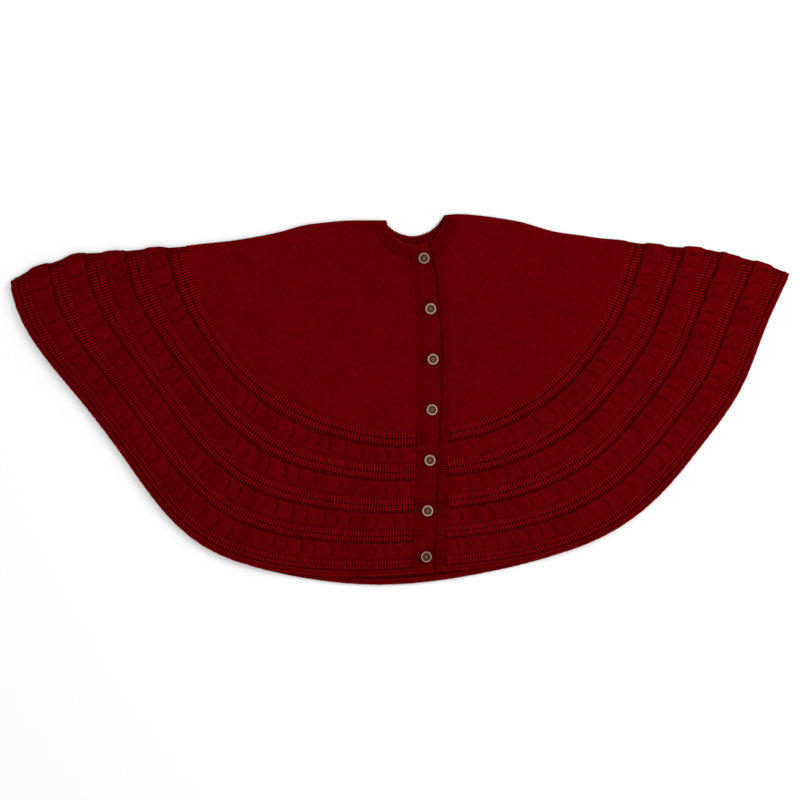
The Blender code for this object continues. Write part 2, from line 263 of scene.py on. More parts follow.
def borderRelief(kind, along, across):
    # height over the plain cloth, and how shaded a place is
    if kind == "cable":
        return cableRelief(along, across) * knit["cableHeight"] - 0.0004, np.zeros_like(along)
    if kind == "lace":
        walls = easedStep(across, 0, 0.12) * easedStep(1 - across, 0, 0.12)
        return -knit["laceSink"] * walls, 0.30 * walls + 0.55 * easedStep(across, 0.84, 0.98)
    if kind == "hem":
        wave = np.abs(np.sin(np.pi * knit["ribsAtHem"] * across))
        return knit["ribHeight"] * (wave - 0.5), 0.75 * (1 - wave) ** 2
    return np.zeros_like(along), np.zeros_like(along)


# meshes
def addPiece(name, mesh, material):
    piece = bpy.data.objects.new(name, mesh)
    bpy.context.scene.collection.objects.link(piece)
    mesh.materials.clear()
    mesh.materials.append(material)
    return piece


def outwardAndSmooth(mesh, sharp=60):
    work = bmesh.new()
    work.from_mesh(mesh)
    bmesh.ops.recalc_face_normals(work, faces=work.faces[:])
    work.to_mesh(mesh)
    work.free()
    mesh.shade_smooth()
    mesh.set_sharp_from_angle(angle=math.radians(sharp))


def writeKnit(mesh, dark, domain, values):
    shade = mesh.attributes.new("shade", "FLOAT", "POINT")
    shade.data.foreach_set("value", dark.astype(np.float32))
    pattern = mesh.attributes.new("knit", "FLOAT_VECTOR", domain)
    pattern.data.foreach_set("vector", values.reshape(-1))


def closedSheet(name, top, bottom, keptRows, cornerKnit, dark):
    # a sheet of cloth with all rows on top and only some of them underneath
    rows, columns = top.shape[:2]
    topCount = rows * columns
    points = np.concatenate([top.reshape(-1, 3), bottom[keptRows].reshape(-1, 3)])

    def upper(i, j):
        return i * columns + j

    def lower(k, j):
        return topCount + k * columns + j

    faces, owners = [], []
    for i in range(rows - 1):
        for j in range(columns - 1):
            faces.append((upper(i, j), upper(i, j + 1), upper(i + 1, j + 1), upper(i + 1, j)))
            owners.append(i)
    last = len(keptRows) - 1
    for k in range(last):
        for j in range(columns - 1):
            faces.append((lower(k, j), lower(k + 1, j), lower(k + 1, j + 1), lower(k, j + 1)))
            owners.append(keptRows[k])
        for j in (0, columns - 1):
            between = [upper(i, j) for i in range(keptRows[k], keptRows[k + 1] + 1)]
            faces.append(tuple(between + [lower(k + 1, j), lower(k, j)]))
            owners.append(keptRows[k])
    for i, k in ((0, 0), (rows - 1, last)):
        for j in range(columns - 1):
            faces.append((upper(i, j), upper(i, j + 1), lower(k, j + 1), lower(k, j)))
            owners.append(min(i, rows - 2))
    mesh = bpy.data.meshes.new(name)
    mesh.from_pydata(points.tolist(), [], faces)
    outwardAndSmooth(mesh)
    along, across, kinds = cornerKnit
    pointRow = np.concatenate([np.repeat(np.arange(rows), columns),
                               np.repeat(np.array(keptRows), columns)])
    pointColumn = np.concatenate([np.tile(np.arange(columns), rows),
                                  np.tile(np.arange(columns), len(keptRows))])
    corners = np.zeros(len(mesh.loops), np.int32)
    mesh.loops.foreach_get("vertex_index", corners)
    # each face takes its pattern from its own stretch, so that a stretch's rows stay aligned
    faceOwner = np.array(owners)[np.repeat(np.arange(len(faces)), [len(f) for f in faces])]
    cornerRow, cornerColumn = pointRow[corners], pointColumn[corners]
    values = np.zeros((len(corners), 3), np.float32)
    values[:, 0] = along(faceOwner, cornerRow, cornerColumn)
    values[:, 1] = across(faceOwner, cornerRow)
    values[:, 2] = kinds[faceOwner]
    writeKnit(mesh, np.concatenate([dark.reshape(-1), dark[keptRows].reshape(-1)]), "CORNER", values)
    return mesh


frontYokeRows = 40


def clothRows(yokeRows):
    # (share of yoke or border, in the border, stretch) for every row of the mesh
    rows = [(i / yokeRows, False, -1) for i in range(yokeRows)]
    start = 0.0
    for index, (end, kind, count) in enumerate(stretches):
        rows += [(start + (end - start) * i / count, True, index) for i in range(count)]
        start = end
    return rows + [(1.0, True, len(stretches) - 1)]


# how far in from its straight line each fold lies, at radii outwards: it sags, bulges and
# rounds off at its tip
foldShape = {
    -1: ((0.030, 0.0168), (0.040, 0.0146), (0.060, 0.0110), (0.080, 0.0078), (0.100, 0.0050),
         (0.130, 0.0034), (0.160, 0.0020), (0.180, 0.0048), (0.200, 0.0074), (0.240, 0.0090),
         (0.280, 0.0090), (0.320, 0.0064), (0.360, 0.0052), (0.400, 0.0006), (0.440, -0.0017),
         (0.480, -0.0052), (0.515, -0.0095), (0.540, -0.0052), (0.560, -0.0004), (0.580, 0.0002),
         (0.600, 0.0063), (0.620, 0.0145), (0.640, 0.0240)),
    1: ((0.030, 0.0120), (0.045, 0.0078), (0.060, 0.0038), (0.080, -0.0020), (0.100, -0.0037),
        (0.130, -0.0049), (0.175, -0.0046), (0.195, -0.0024), (0.215, 0.0014), (0.240, 0.0040),
        (0.280, 0.0030), (0.310, 0.0033), (0.340, 0.0006), (0.360, 0.0018), (0.420, -0.0006),
        (0.460, -0.0047), (0.485, -0.0044), (0.520, -0.0010), (0.550, 0.0024), (0.580, 0.0075),
        (0.600, 0.0125), (0.625, 0.0210)),
}


def creaseOffset(side, radius):
    outwards, inwards = zip(*foldShape[side])
    steps = (-0.012, -0.006, 0, 0.006, 0.012)
    near = [np.interp(radius + step, outwards, inwards) for step in steps]
    return sum(near) / len(near)


def clothLayout(spec, shares, inBorder, leftAngles, middle, rightAngles):
    # radius and angle around the centre of every point of a sheet
    radius = 0.07 + 0.52 * np.linspace(0, 1, len(shares))[:, None]
    for _ in range(7):
        left = leftAngles(radius[:, :1])
        right = rightAngles(radius[:, -1:])
        inner, outer = left[:, -1:], right[:, :1]
        angle = np.hstack([left, inner + (outer - inner) * middle[None, :], right])
        neck = radiusToCircle(spec["neck"], angle)
        hem = np.interp(angle, hemAngles, spec["hem"])
        start = knit["borderStart"] + knit["wobble"] * wobbleAt(angle, spec["seed"])
        if spec.get("band"):
            start = radiusToCircle(spec["band"], angle)
        radius = np.where(inBorder, start + (hem - start) * shares,
                          neck + (start - neck) * shares)
    return radius, angle, neck, hem, start


borders = [0.0] + [end for end, kind, count in stretches]
stretchMiddles = [knit["borderStart"] + knit["borderWidth"] * (borders[i] + borders[i + 1]) / 2
                  for i in range(len(stretches))]


def clothRelief(spec, share, stretchOf, angle, radius):
    relief = np.zeros_like(radius)
    dark = np.zeros_like(radius)
    if spec.get("band"):
        x, y = radius * np.sin(angle), -radius * np.cos(angle)
        around = np.arctan2(x - spec["neck"][0], spec["neck"][1] - y)
        wave = 0.5 + 0.5 * np.cos(around * spec["ribs"])
        # painted shadow on the back neckband's right side, where the front stands over it, and painted shade
        # between the ribs of every neckband
        inShade = spec["dark"] * easedStep(angle, 0.6, 1.15)
        return neckRibs["height"] * (wave ** 0.7 - 0.6), inShade + 0.30 * (1 - wave) ** 1.5
    for index, (end, kind, count) in enumerate(stretches):
        chosen = stretchOf == index
        across = (share[chosen] - borders[index]) / (end - borders[index])
        alongHere = (angle[chosen] * stretchMiddles[index] + knit["stagger"] * index
                     + driftOf(angle[chosen], index))
        relief[chosen], dark[chosen] = borderRelief(kind, alongHere,
                                                    across * np.ones_like(alongHere))
    return relief * spec["relief"], dark


foldRoll = {"reach": 0.008, "tucked": (0.0030, 0.0038, 0.0049, 0.0063), "cloth": 0.0016, "steps": 22,
            "over": 0.00012}


def rollProfile(distance):
    # height of the fold's roll at a distance in from its crease, as a share of its full height
    phase = np.arcsin(np.clip(1 - distance / foldRoll["reach"], 0, 1))
    return np.cos(phase)


def patternOf(angle, stretchOf, rowShare):
    # what the yarn's material reads: along the stretch, across it, and its kind
    middles = np.array(stretchMiddles + [0.2])
    startOf = np.array(borders[:-1] + [0.0])
    lengthOf = np.array([borders[i + 1] - borders[i] for i in range(len(stretches))] + [1.0])

    def along(owner, row, column):
        index, turn = stretchOf[owner], angle[row, column]
        return turn * middles[index] + knit["stagger"] * index + driftOf(turn, index)

    def across(owner, row):
        index = stretchOf[owner]
        inside = (rowShare[row] - startOf[index]) / lengthOf[index]
        return np.where((index >= 0) & (inside < 0), 0.0, inside)

    kinds = np.array([kindNumber[stretches[i][1]] if i >= 0 else 0.0 for i in stretchOf])
    return along, across, kinds


def clothMesh(name, nodeName, spec):
    rows = spec["rows"]
    share = np.array([row[0] for row in rows])[:, None]
    inBorder = np.array([row[1] for row in rows])[:, None]
    stretchOf = np.array([row[2] for row in rows])
    tucked = np.array([*foldRoll["tucked"], foldRoll["reach"]])
    leftRoll = tucked if spec["leftIsFold"] else np.array([0.0])
    rightRoll = tucked if spec["rightIsFold"] else np.array([0.0])
    middle = np.linspace(0, 1, spec["columns"])[1:-1]
    radius, angle, neck, hem, start = clothLayout(
        spec, share, inBorder, lambda r: spec["leftFar"](r, leftRoll[None, :]), middle,
        lambda r: spec["rightFar"](r, rightRoll[None, ::-1]))
    outer = start if spec.get("band") else hem
    relief, dark = clothRelief(spec, share, stretchOf, angle, radius)
    low, high = heights(nodeName)
    topZ = high - knit["inset"] + relief
    topZ += knit["unevenHeight"] * wobbleAt(angle * 2.3 + radius * 9, spec["seed"] + 4)
    ends = taper(radius, neck, outer, knit["edgeRound"])
    bottomZ = np.full_like(topZ, low + knit["skin"])
    middleZ = (low + high) / 2
    topZ = middleZ + (topZ - middleZ) * (0.35 + 0.65 * ends)
    isFront = low > foldZ - 0.0005
    for isFold, side, fold in ((spec["leftIsFold"], -1, leftFold),
                               (spec["rightIsFold"], 1, rightFold)):
        if not isFold:
            continue
        inFrom = radius * np.sin(np.clip(fold - side * angle, 0, 1.5)) - creaseOffset(side, radius)
        rolled = rollProfile(inFrom)
        if isFront:
            topZ = foldZ + (topZ - foldZ) * rolled - 0.0003 * (rolled < 0.999)
        else:
            bottomZ = foldZ - (foldZ - bottomZ) * rolled + 0.0003 * (rolled < 0.999)
    for isFold, distance in ((spec["leftIsFold"], radius * (angle - angle[:, :1])),
                             (spec["rightIsFold"], radius * (angle[:, -1:] - angle))):
        if not isFold:       # a sewn edge lies flat
            flat = easedStep(distance, 0.003, 0.010)
            topZ = np.minimum(topZ, high - 0.0004 + (topZ - high + 0.0004) * flat)
            topZ = middleZ + (topZ - middleZ) * (0.8 + 0.2 * easedStep(distance, -0.0001, 0.0018))
    x, y = onPlane(radius, angle)
    bottomZ = np.minimum(bottomZ, topZ - 0.0002)
    top = np.stack([x, y, topZ], axis=-1)
    bottom = np.stack([x, y, bottomZ], axis=-1)
    keptRows = everyFew(len(rows), spec.get("rowStep", 4))
    pattern = patternOf(angle, stretchOf, share[:, 0])
    return closedSheet(name, top, bottom, keptRows, pattern, dark), (angle, radius, topZ)


def foldMesh(name, side, frontNode, backNode, seed):
    # the cloth that rolls over a fold, from the front's face to the back's, with its own pattern
    band = foldRows(10)
    share = np.array([row[0] for row in band])[:, None]
    zone = np.array([row[1] for row in band])[:, None]
    stretchOf = np.array([row[2] for row in band])
    phase = np.linspace(0, math.pi, foldRoll["steps"])[None, :]
    fromCrease = foldRoll["reach"] * (1 - np.sin(phase))
    far = foldFar(side)
    spec = {"neck": yokeCircle, "hem": frontHem, "seed": seed, "relief": 1.0}
    radius = np.interp(np.linspace(0, 1, len(band)), [0, 1], [0.03, 0.6])[:, None] * np.ones_like(phase)
    under = easedStep(phase, 0.3 * math.pi, math.pi)

    def between(front, back):
        return (1 - under) * front + under * back

    for _ in range(8):
        angle = far(radius, fromCrease)
        collar = between(radiusToCircle(neckline, angle), radiusToCircle(backNeckline, angle))
        neck = between(radiusToCircle(yokeCircle, angle), radiusToCircle(backYokeCircle, angle))
        hem = between(np.interp(angle, hemAngles, frontHem), np.interp(angle, hemAngles, backHem))
        start = knit["borderStart"] + knit["wobble"] * wobbleAt(angle, seed)
        radius = np.where(zone == 2, start + (hem - start) * share,
                          np.where(zone == 1, neck + (start - neck) * share,
                                   collar + (neck - collar) * share))
    relief, dark = clothRelief(spec, share, stretchOf, angle, radius)
    frontTop = heights(frontNode)[1] - knit["inset"]
    backLow = heights(backNode)[0] + knit["skin"]
    ends = taper(radius, collar, hem, 0.002)
    up = np.cos(phase)
    over = foldRoll["over"]
    high = frontTop + relief + over - foldZ
    down = foldZ - backLow - over
    tall = np.where(up > 0, high, down) * (0.5 + 0.5 * ends)
    bulge = np.sin(phase) * np.clip(relief, -0.001, 0.002) * 0.8
    outZ = foldZ + up * tall
    inZ = foldZ + up * (tall - foldRoll["cloth"])
    outFrom = fromCrease - bulge
    inFrom = fromCrease + foldRoll["cloth"] * np.sin(phase)

    def placed(distance, z):
        turned = far(radius, distance)
        return np.stack([*onPlane(radius, turned), z], axis=-1)

    keptRows = everyFew(len(band), 3)
    pattern = patternOf(angle, stretchOf, share[:, 0])
    return closedSheet(name, placed(outFrom, outZ), placed(inFrom, inZ), keptRows, pattern, dark)


def foldRows(collarRows):
    # zone 0 is the neckband, 1 the yoke, 2 the border
    rows = [(i / collarRows, 0, -1) for i in range(collarRows)]
    return rows + [(share, 2 if border else 1, index) for share, border, index in clothRows(frontYokeRows)]


def foldFar(side):
    # the angle at a distance in from a fold line, at a radius
    fold = leftFold if side < 0 else rightFold

    def angleAt(radius, distance):
        inward = distance + creaseOffset(side, radius)
        return side * (fold - np.arcsin(np.clip(inward / radius, -0.9, 0.9)))

    return angleAt


def edgeFar(nodeName, side, under=0.0):
    # the angle of a sewn edge at a radius, a little past it where it is caught under the next
    edge = edgeOf(nodeName, side)

    def angleAt(radius, distance):
        return np.interp(radius, edge[:, 0], edge[:, 1]) + side * under / radius + 0 * distance

    return angleAt


# yarn: its colours and the parts of its material
yarn = {
    "red": (0.1020, 0.00028, 0.0013),
    "rib": (0.0990, 0.00028, 0.0012),
    # a lighter copy of the red for the raised strands: painted highlight
    "rung": (0.1640, 0.00050, 0.0025),
    "shadow": (0.0120, 0.00010, 0.0003),
    "roughness": 0.95,
    "gloss": 0.0,
    "sheen": 0.08,
    "sheenTint": (0.80, 0.004, 0.012, 1.0),
    "fuzzSize": 0.0013,
    "uneven": 0.0013,             # how far the rows of the knit wander
}


def addNode(tree, kind, inputs=(), **settings):
    # a node with its settings, each input set to a value or linked to a socket
    node = tree.nodes.new(kind)
    for name, value in settings.items():
        setattr(node, name, value)
    for name, value in dict(inputs).items():
        if isinstance(value, bpy.types.NodeSocket):
            tree.links.new(value, node.inputs[name])
        else:
            node.inputs[name].default_value = value
    return node


def calculator(tree):
    # gives a function that adds a math node to the tree and returns its result
    def calculate(operation, *values, clamp=False):
        return addNode(tree, "ShaderNodeMath", enumerate(values), operation=operation,
                       use_clamp=clamp).outputs[0]

    return calculate


def mixColours(tree, factor, first, second, blend="MIX"):
    values = [(*value, 1.0) if isinstance(value, tuple) else value for value in (first, second)]
    return addNode(tree, "ShaderNodeMix", {0: factor, 6: values[0], 7: values[1]},
                   data_type="RGBA", blend_type=blend).outputs[2]


def newGroup(name, inputs, outputs):
    group = bpy.data.node_groups.new(name, "ShaderNodeTree")
    for socketName, value in inputs.items():
        group.interface.new_socket(socketName, in_out="INPUT",
                                   socket_type="NodeSocketFloat").default_value = value
    for socketName in outputs:
        group.interface.new_socket(socketName, in_out="OUTPUT", socket_type="NodeSocketFloat")
    into, out = group.nodes.new("NodeGroupInput"), group.nodes.new("NodeGroupOutput")
    return group, into.outputs, out.inputs


def unevenGroup():
    # knitted rows wander a little: the place of a pattern, moved by broad noise
    group, into, out = newGroup(
        "unevenRows", {"Along": 0.0, "Across": 0.0, "Amount": yarn["uneven"]}, ["Along", "Across"])
    do = calculator(group)
    place = group.nodes.new("ShaderNodeTexCoord").outputs["Object"]
    noise = addNode(group, "ShaderNodeTexNoise", {"Scale": 75.0, "Detail": 2.0, "Vector": place})
    parts = addNode(group, "ShaderNodeSeparateColor", {0: noise.outputs["Color"]})
    for channel, name, share in ((0, "Along", 1.6), (1, "Across", 50.0)):
        reach = do("MULTIPLY", into["Amount"], share)
        shift = do("MULTIPLY", do("SUBTRACT", parts.outputs[channel], 0.5), reach)
        group.links.new(do("ADD", into[name], shift), out[name])
    return group


def cableGroup():
    # painted shade in the short curved grooves between a cable's pillows and along the scalloped line at its
    # edges, and a random tone for each pillow
    group, into, out = newGroup(
        "cables", {"Along": 0.0, "Across": 0.0, "Kind": 0.0, "Pitch": knit["cablePitch"]},
        ["Mask", "Tone"])
    do = calculator(group)
    cable = do("COMPARE", into["Kind"], kindNumber["cable"], 0.4)
    v = do("MULTIPLY_ADD", into["Across"], 2.0, -1.0)
    square = do("MULTIPLY", v, v)
    lean = do("MULTIPLY_ADD", v, -0.10, do("MULTIPLY", square, 0.34))
    turn = do("ADD", do("DIVIDE", into["Along"], into["Pitch"]), lean)
    pillow = do("ROUND", turn)
    off = do("ABSOLUTE", do("SUBTRACT", turn, pillow))
    groove = do("MULTIPLY_ADD", off, -7.0, 1.0, clamp=True)
    short = do("MULTIPLY_ADD", square, -3.0, 1.6, clamp=True)
    number = do("ADD", pillow, do("MULTIPLY", into["Kind"], 7.0))
    tone = addNode(group, "ShaderNodeTexWhiteNoise", {"W": number},
                   noise_dimensions="1D").outputs["Value"]
    depth = do("MULTIPLY_ADD", tone, 0.60, 0.18)
    groove = do("MULTIPLY", do("MULTIPLY", groove, short), depth)
    scallop = do("MULTIPLY", do("COSINE", do("MULTIPLY", turn, 2 * math.pi)), 0.045)
    rim = do("MULTIPLY", do("ADD", do("ABSOLUTE", v), scallop), 9.0)
    rim = do("ADD", rim, do("MULTIPLY_ADD", v, -0.30, -7.60), clamp=True)
    rim = do("MULTIPLY", rim, do("MULTIPLY_ADD", v, -0.22, 0.72, clamp=True))
    group.links.new(do("MULTIPLY", do("MAXIMUM", groove, rim), cable), out["Mask"])
    spread = do("MULTIPLY_ADD", tone, 0.16, -0.08)
    group.links.new(do("MULTIPLY", spread, cable), out["Tone"])
    return group


def eyeletGroup():
    # painted shadow in eyelets, in rows across a lace stretch, one every pitch along it
    group, into, out = newGroup(
        "eyelets", {"Along": 0.0, "Across": 0.0, "Kind": 0.0, "Pitch": knit["lacePitch"]}, ["Mask"])
    do = calculator(group)
    isLace = do("COMPARE", into["Kind"], kindNumber["lace"], 0.4)
    turn = do("DIVIDE", into["Along"], into["Pitch"])
    wave = do("COSINE", do("MULTIPLY", turn, 2 * math.pi))
    between = do("MULTIPLY_ADD", wave, -0.9, 0.22, clamp=True)
    rows = None
    for place, half, openness in laceRows:
        offset = do("ABSOLUTE", do("SUBTRACT", into["Across"], place))
        row = do("MULTIPLY", do("MULTIPLY_ADD", offset, -1.7 / half, 1.7, clamp=True), openness)
        rows = row if rows is None else do("MAXIMUM", rows, row)
    group.links.new(do("MULTIPLY", do("MULTIPLY", between, rows), isLace), out["Mask"])
    return group


def stitchGroup():
    # knit stitches as rows of small V shapes, with painted shade between their strands, and the fuzz of the
    # yarn
    group, into, out = newGroup(
        "stitches", {"Along": 0.0, "Radius": 0.0, "Stitch": knit["stitch"],
                     "Fuzz": 1 / yarn["fuzzSize"]}, ["Height", "Variation"])
    do = calculator(group)
    aside = do("SUBTRACT", do("FRACT", do("DIVIDE", into["Along"], into["Stitch"])), 0.5)
    row = do("DIVIDE", into["Radius"], do("MULTIPLY", into["Stitch"], 0.8))
    lean = do("ADD", row, do("ABSOLUTE", aside))
    strand = do("ABSOLUTE", do("SINE", do("MULTIPLY", lean, math.pi)))
    leg = do("ABSOLUTE", do("SINE", do("MULTIPLY", aside, 2 * math.pi)))
    vees = do("MULTIPLY", strand, leg)
    place = group.nodes.new("ShaderNodeTexCoord").outputs["Object"]
    fuzz, blotch, broad = (
        addNode(group, "ShaderNodeTexNoise", {"Vector": place, **values}).outputs["Fac"]
        for values in ({"Detail": 3.0, "Roughness": 0.65, "Scale": into["Fuzz"]},
                       {"Scale": 330.0, "Detail": 3.0}, {"Scale": 26.0, "Detail": 4.0}))
    height = do("ADD", do("MULTIPLY", vees, 0.6), do("MULTIPLY", fuzz, 0.7))
    group.links.new(height, out["Height"])
    fine = do("MULTIPLY_ADD", fuzz, 0.60, -0.30)
    middling = do("MULTIPLY_ADD", blotch, 0.80, -0.40)
    # darker between the strands of the stitches: painted shade; the noises are the yarn's own uneven colour
    strandShade = do("MULTIPLY_ADD", vees, 0.22, -0.10)
    wide = do("MULTIPLY_ADD", broad, 0.40, -0.20)
    total = do("ADD", do("ADD", fine, middling), do("ADD", wide, strandShade))
    group.links.new(do("ADD", total, 1.0), out["Variation"])
    return group


groups = {"eyelets": eyeletGroup(), "cables": cableGroup(), "stitches": stitchGroup(),
          "unevenRows": unevenGroup()}


def useGroup(tree, name, **values):
    return addNode(tree, "ShaderNodeGroup", values, node_tree=groups[name]).outputs


def newMaterial(name, **inputs):
    # a Principled material, its inputs named with _ for each space
    material = bpy.data.materials.new(name)
    material.use_nodes = True
    shader = material.node_tree.nodes["Principled BSDF"]
    for socketName, value in inputs.items():
        shader.inputs[socketName.replace("_", " ")].default_value = value
    return material, material.node_tree, shader


def dress(tree, shader, colour, height, strength, distance):
    # the material's colour, and its bump from a height
    tree.links.new(colour, shader.inputs["Base Color"])
    bump = addNode(tree, "ShaderNodeBump", {"Strength": strength, "Distance": distance,
                                            "Height": height})
    tree.links.new(bump.outputs[0], shader.inputs["Normal"])


def yarnMaterial(name, colour, stitch, bump=0.0005):
    material, tree, shader = newMaterial(
        name, Roughness=yarn["roughness"], Specular_IOR_Level=yarn["gloss"],
        Sheen_Weight=yarn["sheen"], Sheen_Tint=yarn["sheenTint"], Sheen_Roughness=0.5)
    do = calculator(tree)
    pattern = addNode(tree, "ShaderNodeAttribute", attribute_name="knit")
    split = addNode(tree, "ShaderNodeSeparateXYZ", {0: pattern.outputs["Vector"]}).outputs
    shade = addNode(tree, "ShaderNodeAttribute", attribute_name="shade").outputs["Fac"]
    place = tree.nodes.new("ShaderNodeTexCoord").outputs["Object"]
    far = addNode(tree, "ShaderNodeVectorMath", {0: place, 1: (centre.x, centre.y, foldZ)},
                  operation="DISTANCE").outputs["Value"]
    rows = useGroup(tree, "unevenRows", Along=split[0], Across=split[1])
    holes = useGroup(tree, "eyelets", Along=split[0], Across=rows["Across"],
                     Kind=split[2])["Mask"]
    cables = useGroup(tree, "cables", Along=rows["Along"], Across=rows["Across"], Kind=split[2])
    stitches = useGroup(tree, "stitches", Along=split[0], Radius=far, Stitch=stitch)
    tone = do("ADD", stitches["Variation"], cables["Tone"])
    toned = mixColours(tree, 1.0, colour, tone, "MULTIPLY")
    # painted shade: the shade attribute and the cables' grooves and edges darken the yarn towards the shadow
    # colour, and the eyelets get painted shadow in their holes
    gutter = do("MAXIMUM", do("MULTIPLY", shade, 0.72), do("MULTIPLY", cables["Mask"], 0.85))
    shaded = mixColours(tree, gutter, toned, yarn["shadow"])
    final = mixColours(tree, do("MULTIPLY", holes, 0.97), shaded, yarn["shadow"])
    height = do("SUBTRACT", stitches["Height"], do("MULTIPLY", holes, 2.0))
    dress(tree, shader, final, height, 0.8, bump)
    return material


clothYarn = yarnMaterial("clothYarn", yarn["red"], knit["stitch"])
ribYarn = yarnMaterial("ribYarn", yarn["rib"], knit["stitch"])
# the lace rungs, the buttonhole edging and the bound-off chain use this lighter copy of the yarn, a painted
# highlight on raised strands
litStrandYarn = yarnMaterial("litStrandYarn", yarn["rung"], knit["stitch"] * 0.5, 0.0003)
print("materials made")

# the three sheets of cloth
cloth = {
    "left_front": {"node": "left_front_panel", "columns": 400, "seed": 1.3,
                   "leftIsFold": True, "rightIsFold": False, "relief": 1.0,
                   "flat": (0.64, 0.56), "area": 0.258},
    "right_front": {"node": "right_front_panel", "columns": 360, "seed": 4.1,
                    "leftIsFold": False, "rightIsFold": True, "relief": 1.0,
                    "flat": (0.55, 0.55), "area": 0.207},
    "back": {"node": "back_panel", "columns": 420, "seed": 2.2,
             "leftIsFold": True, "rightIsFold": True, "relief": 0.35,
             "flat": (1.21, 0.57), "area": 0.489},
}
cloth["left_front"].update(leftFar=foldFar(-1), rightFar=edgeFar("left_front_panel", 1),
                           neck=yokeCircle, hem=frontHem, rows=clothRows(frontYokeRows))
cloth["right_front"].update(leftFar=edgeFar("right_front_panel", -1, knit["caught"]),
                            rightFar=foldFar(1), neck=yokeCircle, hem=frontHem, rows=clothRows(frontYokeRows))
cloth["back"].update(leftFar=foldFar(-1), rightFar=foldFar(1), neck=backYokeCircle, hem=backHem,
                     rows=clothRows(24))

grids = {}
for body, spec in cloth.items():
    mesh, grids[body] = clothMesh(body + "_cloth", spec["node"], spec)
    piece = addPiece(body + "_cloth", mesh, clothYarn)
    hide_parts(spec["node"])
    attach(piece, body)
    print(body, "cloth", len(mesh.polygons), "faces")


# the neckband, in three stretches
def neckbandSpec(body, circle, outerCircle, leftFar, rightFar, leftIsFold, rightIsFold, columns):
    rows = [(i / neckRibs["rows"], False, -1) for i in range(neckRibs["rows"] + 1)]
    around = 2 * math.pi * (circle[2] + 0.011) / neckRibs["pitch"]
    return {"neck": circle, "band": outerCircle, "hem": frontHem, "seed": 3.0, "relief": 1.0,
            "ribs": around, "rows": rows, "columns": columns, "leftFar": leftFar,
            "rightFar": rightFar, "leftIsFold": leftIsFold, "rightIsFold": rightIsFold,
            "rowStep": 2, "body": body, "dark": neckRibs["backShade"] if body == "back" else 0.0}


neckbands = {
    "left_neckband": neckbandSpec("left_front", neckline, yokeCircle, foldFar(-1),
                                  edgeFar("left_neckband", 1), True, False, 190),
    "right_neckband": neckbandSpec("right_front", neckline, yokeCircle,
                                   edgeFar("right_neckband", -1, knit["caught"]), foldFar(1), False,
                                   True, 90),
    "back_neckband": neckbandSpec("back", backNeckline, backYokeCircle, foldFar(-1), foldFar(1),
                                  True, True, 300),
}
for nodeName, spec in neckbands.items():
    mesh, grids[nodeName] = clothMesh(nodeName + "_rib", nodeName, spec)
    piece = addPiece(nodeName + "_rib", mesh, ribYarn)
    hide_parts(nodeName)
    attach(piece, spec["body"])
print("neckbands made")

# the rolls along the two folds
for side, body in ((-1, "left_front"), (1, "right_front")):
    spec = cloth[body]
    mesh = foldMesh(body + "_fold", side, spec["node"], "back_panel", spec["seed"])
    piece = addPiece(body + "_fold", mesh, clothYarn)
    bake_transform(piece)
print("folds made")


# geometry nodes that set one small shape out many times
def newGeometryTree(name, *more):
    tree = bpy.data.node_groups.new(name, "GeometryNodeTree")
    tree.interface.new_socket("Geometry", in_out="OUTPUT", socket_type="NodeSocketGeometry")
    for socketName, kind in (("Geometry", "Geometry"), ("Shape", "Object"), *more,
                             ("Variation", "Float"), ("Seed", "Int"), ("Yarn", "Material")):
        tree.interface.new_socket(socketName, in_out="INPUT", socket_type="NodeSocket" + kind)
    into = tree.nodes.new("NodeGroupInput").outputs
    shape = addNode(tree, "GeometryNodeObjectInfo", {"Object": into["Shape"]})
    return tree, into, shape.outputs["Geometry"]


def namedValue(tree, attribute):
    return addNode(tree, "GeometryNodeInputNamedAttribute", {"Name": attribute},
                   data_type="FLOAT").outputs["Attribute"]


def finishTree(tree, into, points, shape, rotation, scale):
    setOut = addNode(tree, "GeometryNodeInstanceOnPoints", {
        "Points": points, "Instance": shape, "Rotation": rotation, "Scale": scale})
    realize = addNode(tree, "GeometryNodeRealizeInstances", {
        "Geometry": setOut.outputs["Instances"]})
    painted = addNode(tree, "GeometryNodeSetMaterial", {
        "Geometry": realize.outputs["Geometry"], "Material": into["Yarn"]})
    addNode(tree, "NodeGroupOutput", {"Geometry": painted.outputs["Geometry"]})
    return tree


def randomSize(tree, into):
    do = calculator(tree)
    random = addNode(tree, "FunctionNodeRandomValue", {"Seed": into["Seed"]}, data_type="FLOAT")
    floats = [socket for socket in random.inputs if socket.type == "VALUE"]
    for socket, operation in zip(floats, ("SUBTRACT", "ADD")):
        tree.links.new(do(operation, 1.0, into["Variation"]), socket)
    return [socket for socket in random.outputs if socket.type == "VALUE"][0]


def rungTree():
    # one rung at each point, turned by the point's turn and as long as its reach
    tree, into, shape = newGeometryTree("laceRungs")
    spread = randomSize(tree, into)
    turn = addNode(tree, "ShaderNodeCombineXYZ", {"Z": namedValue(tree, "turn")})
    size = addNode(tree, "ShaderNodeCombineXYZ", {"X": namedValue(tree, "reach"), "Y": spread,
                                                  "Z": spread})
    return finishTree(tree, into, into["Geometry"], shape, turn.outputs[0], size.outputs[0])


def edgingTree(name):
    # one stitch every pitch along the guide line
    tree, into, shape = newGeometryTree(name, ("Pitch", "Float"))
    line = addNode(tree, "GeometryNodeMeshToCurve", {"Mesh": into["Geometry"]})
    steps = addNode(tree, "GeometryNodeCurveToPoints", {
        "Curve": line.outputs["Curve"], "Length": into["Pitch"]}, mode="LENGTH")
    aim = addNode(tree, "FunctionNodeAlignRotationToVector", {"Vector": steps.outputs["Tangent"]},
                  axis="X", pivot_axis="Z")
    return finishTree(tree, into, steps.outputs["Points"], shape, aim.outputs["Rotation"],
                      randomSize(tree, into))


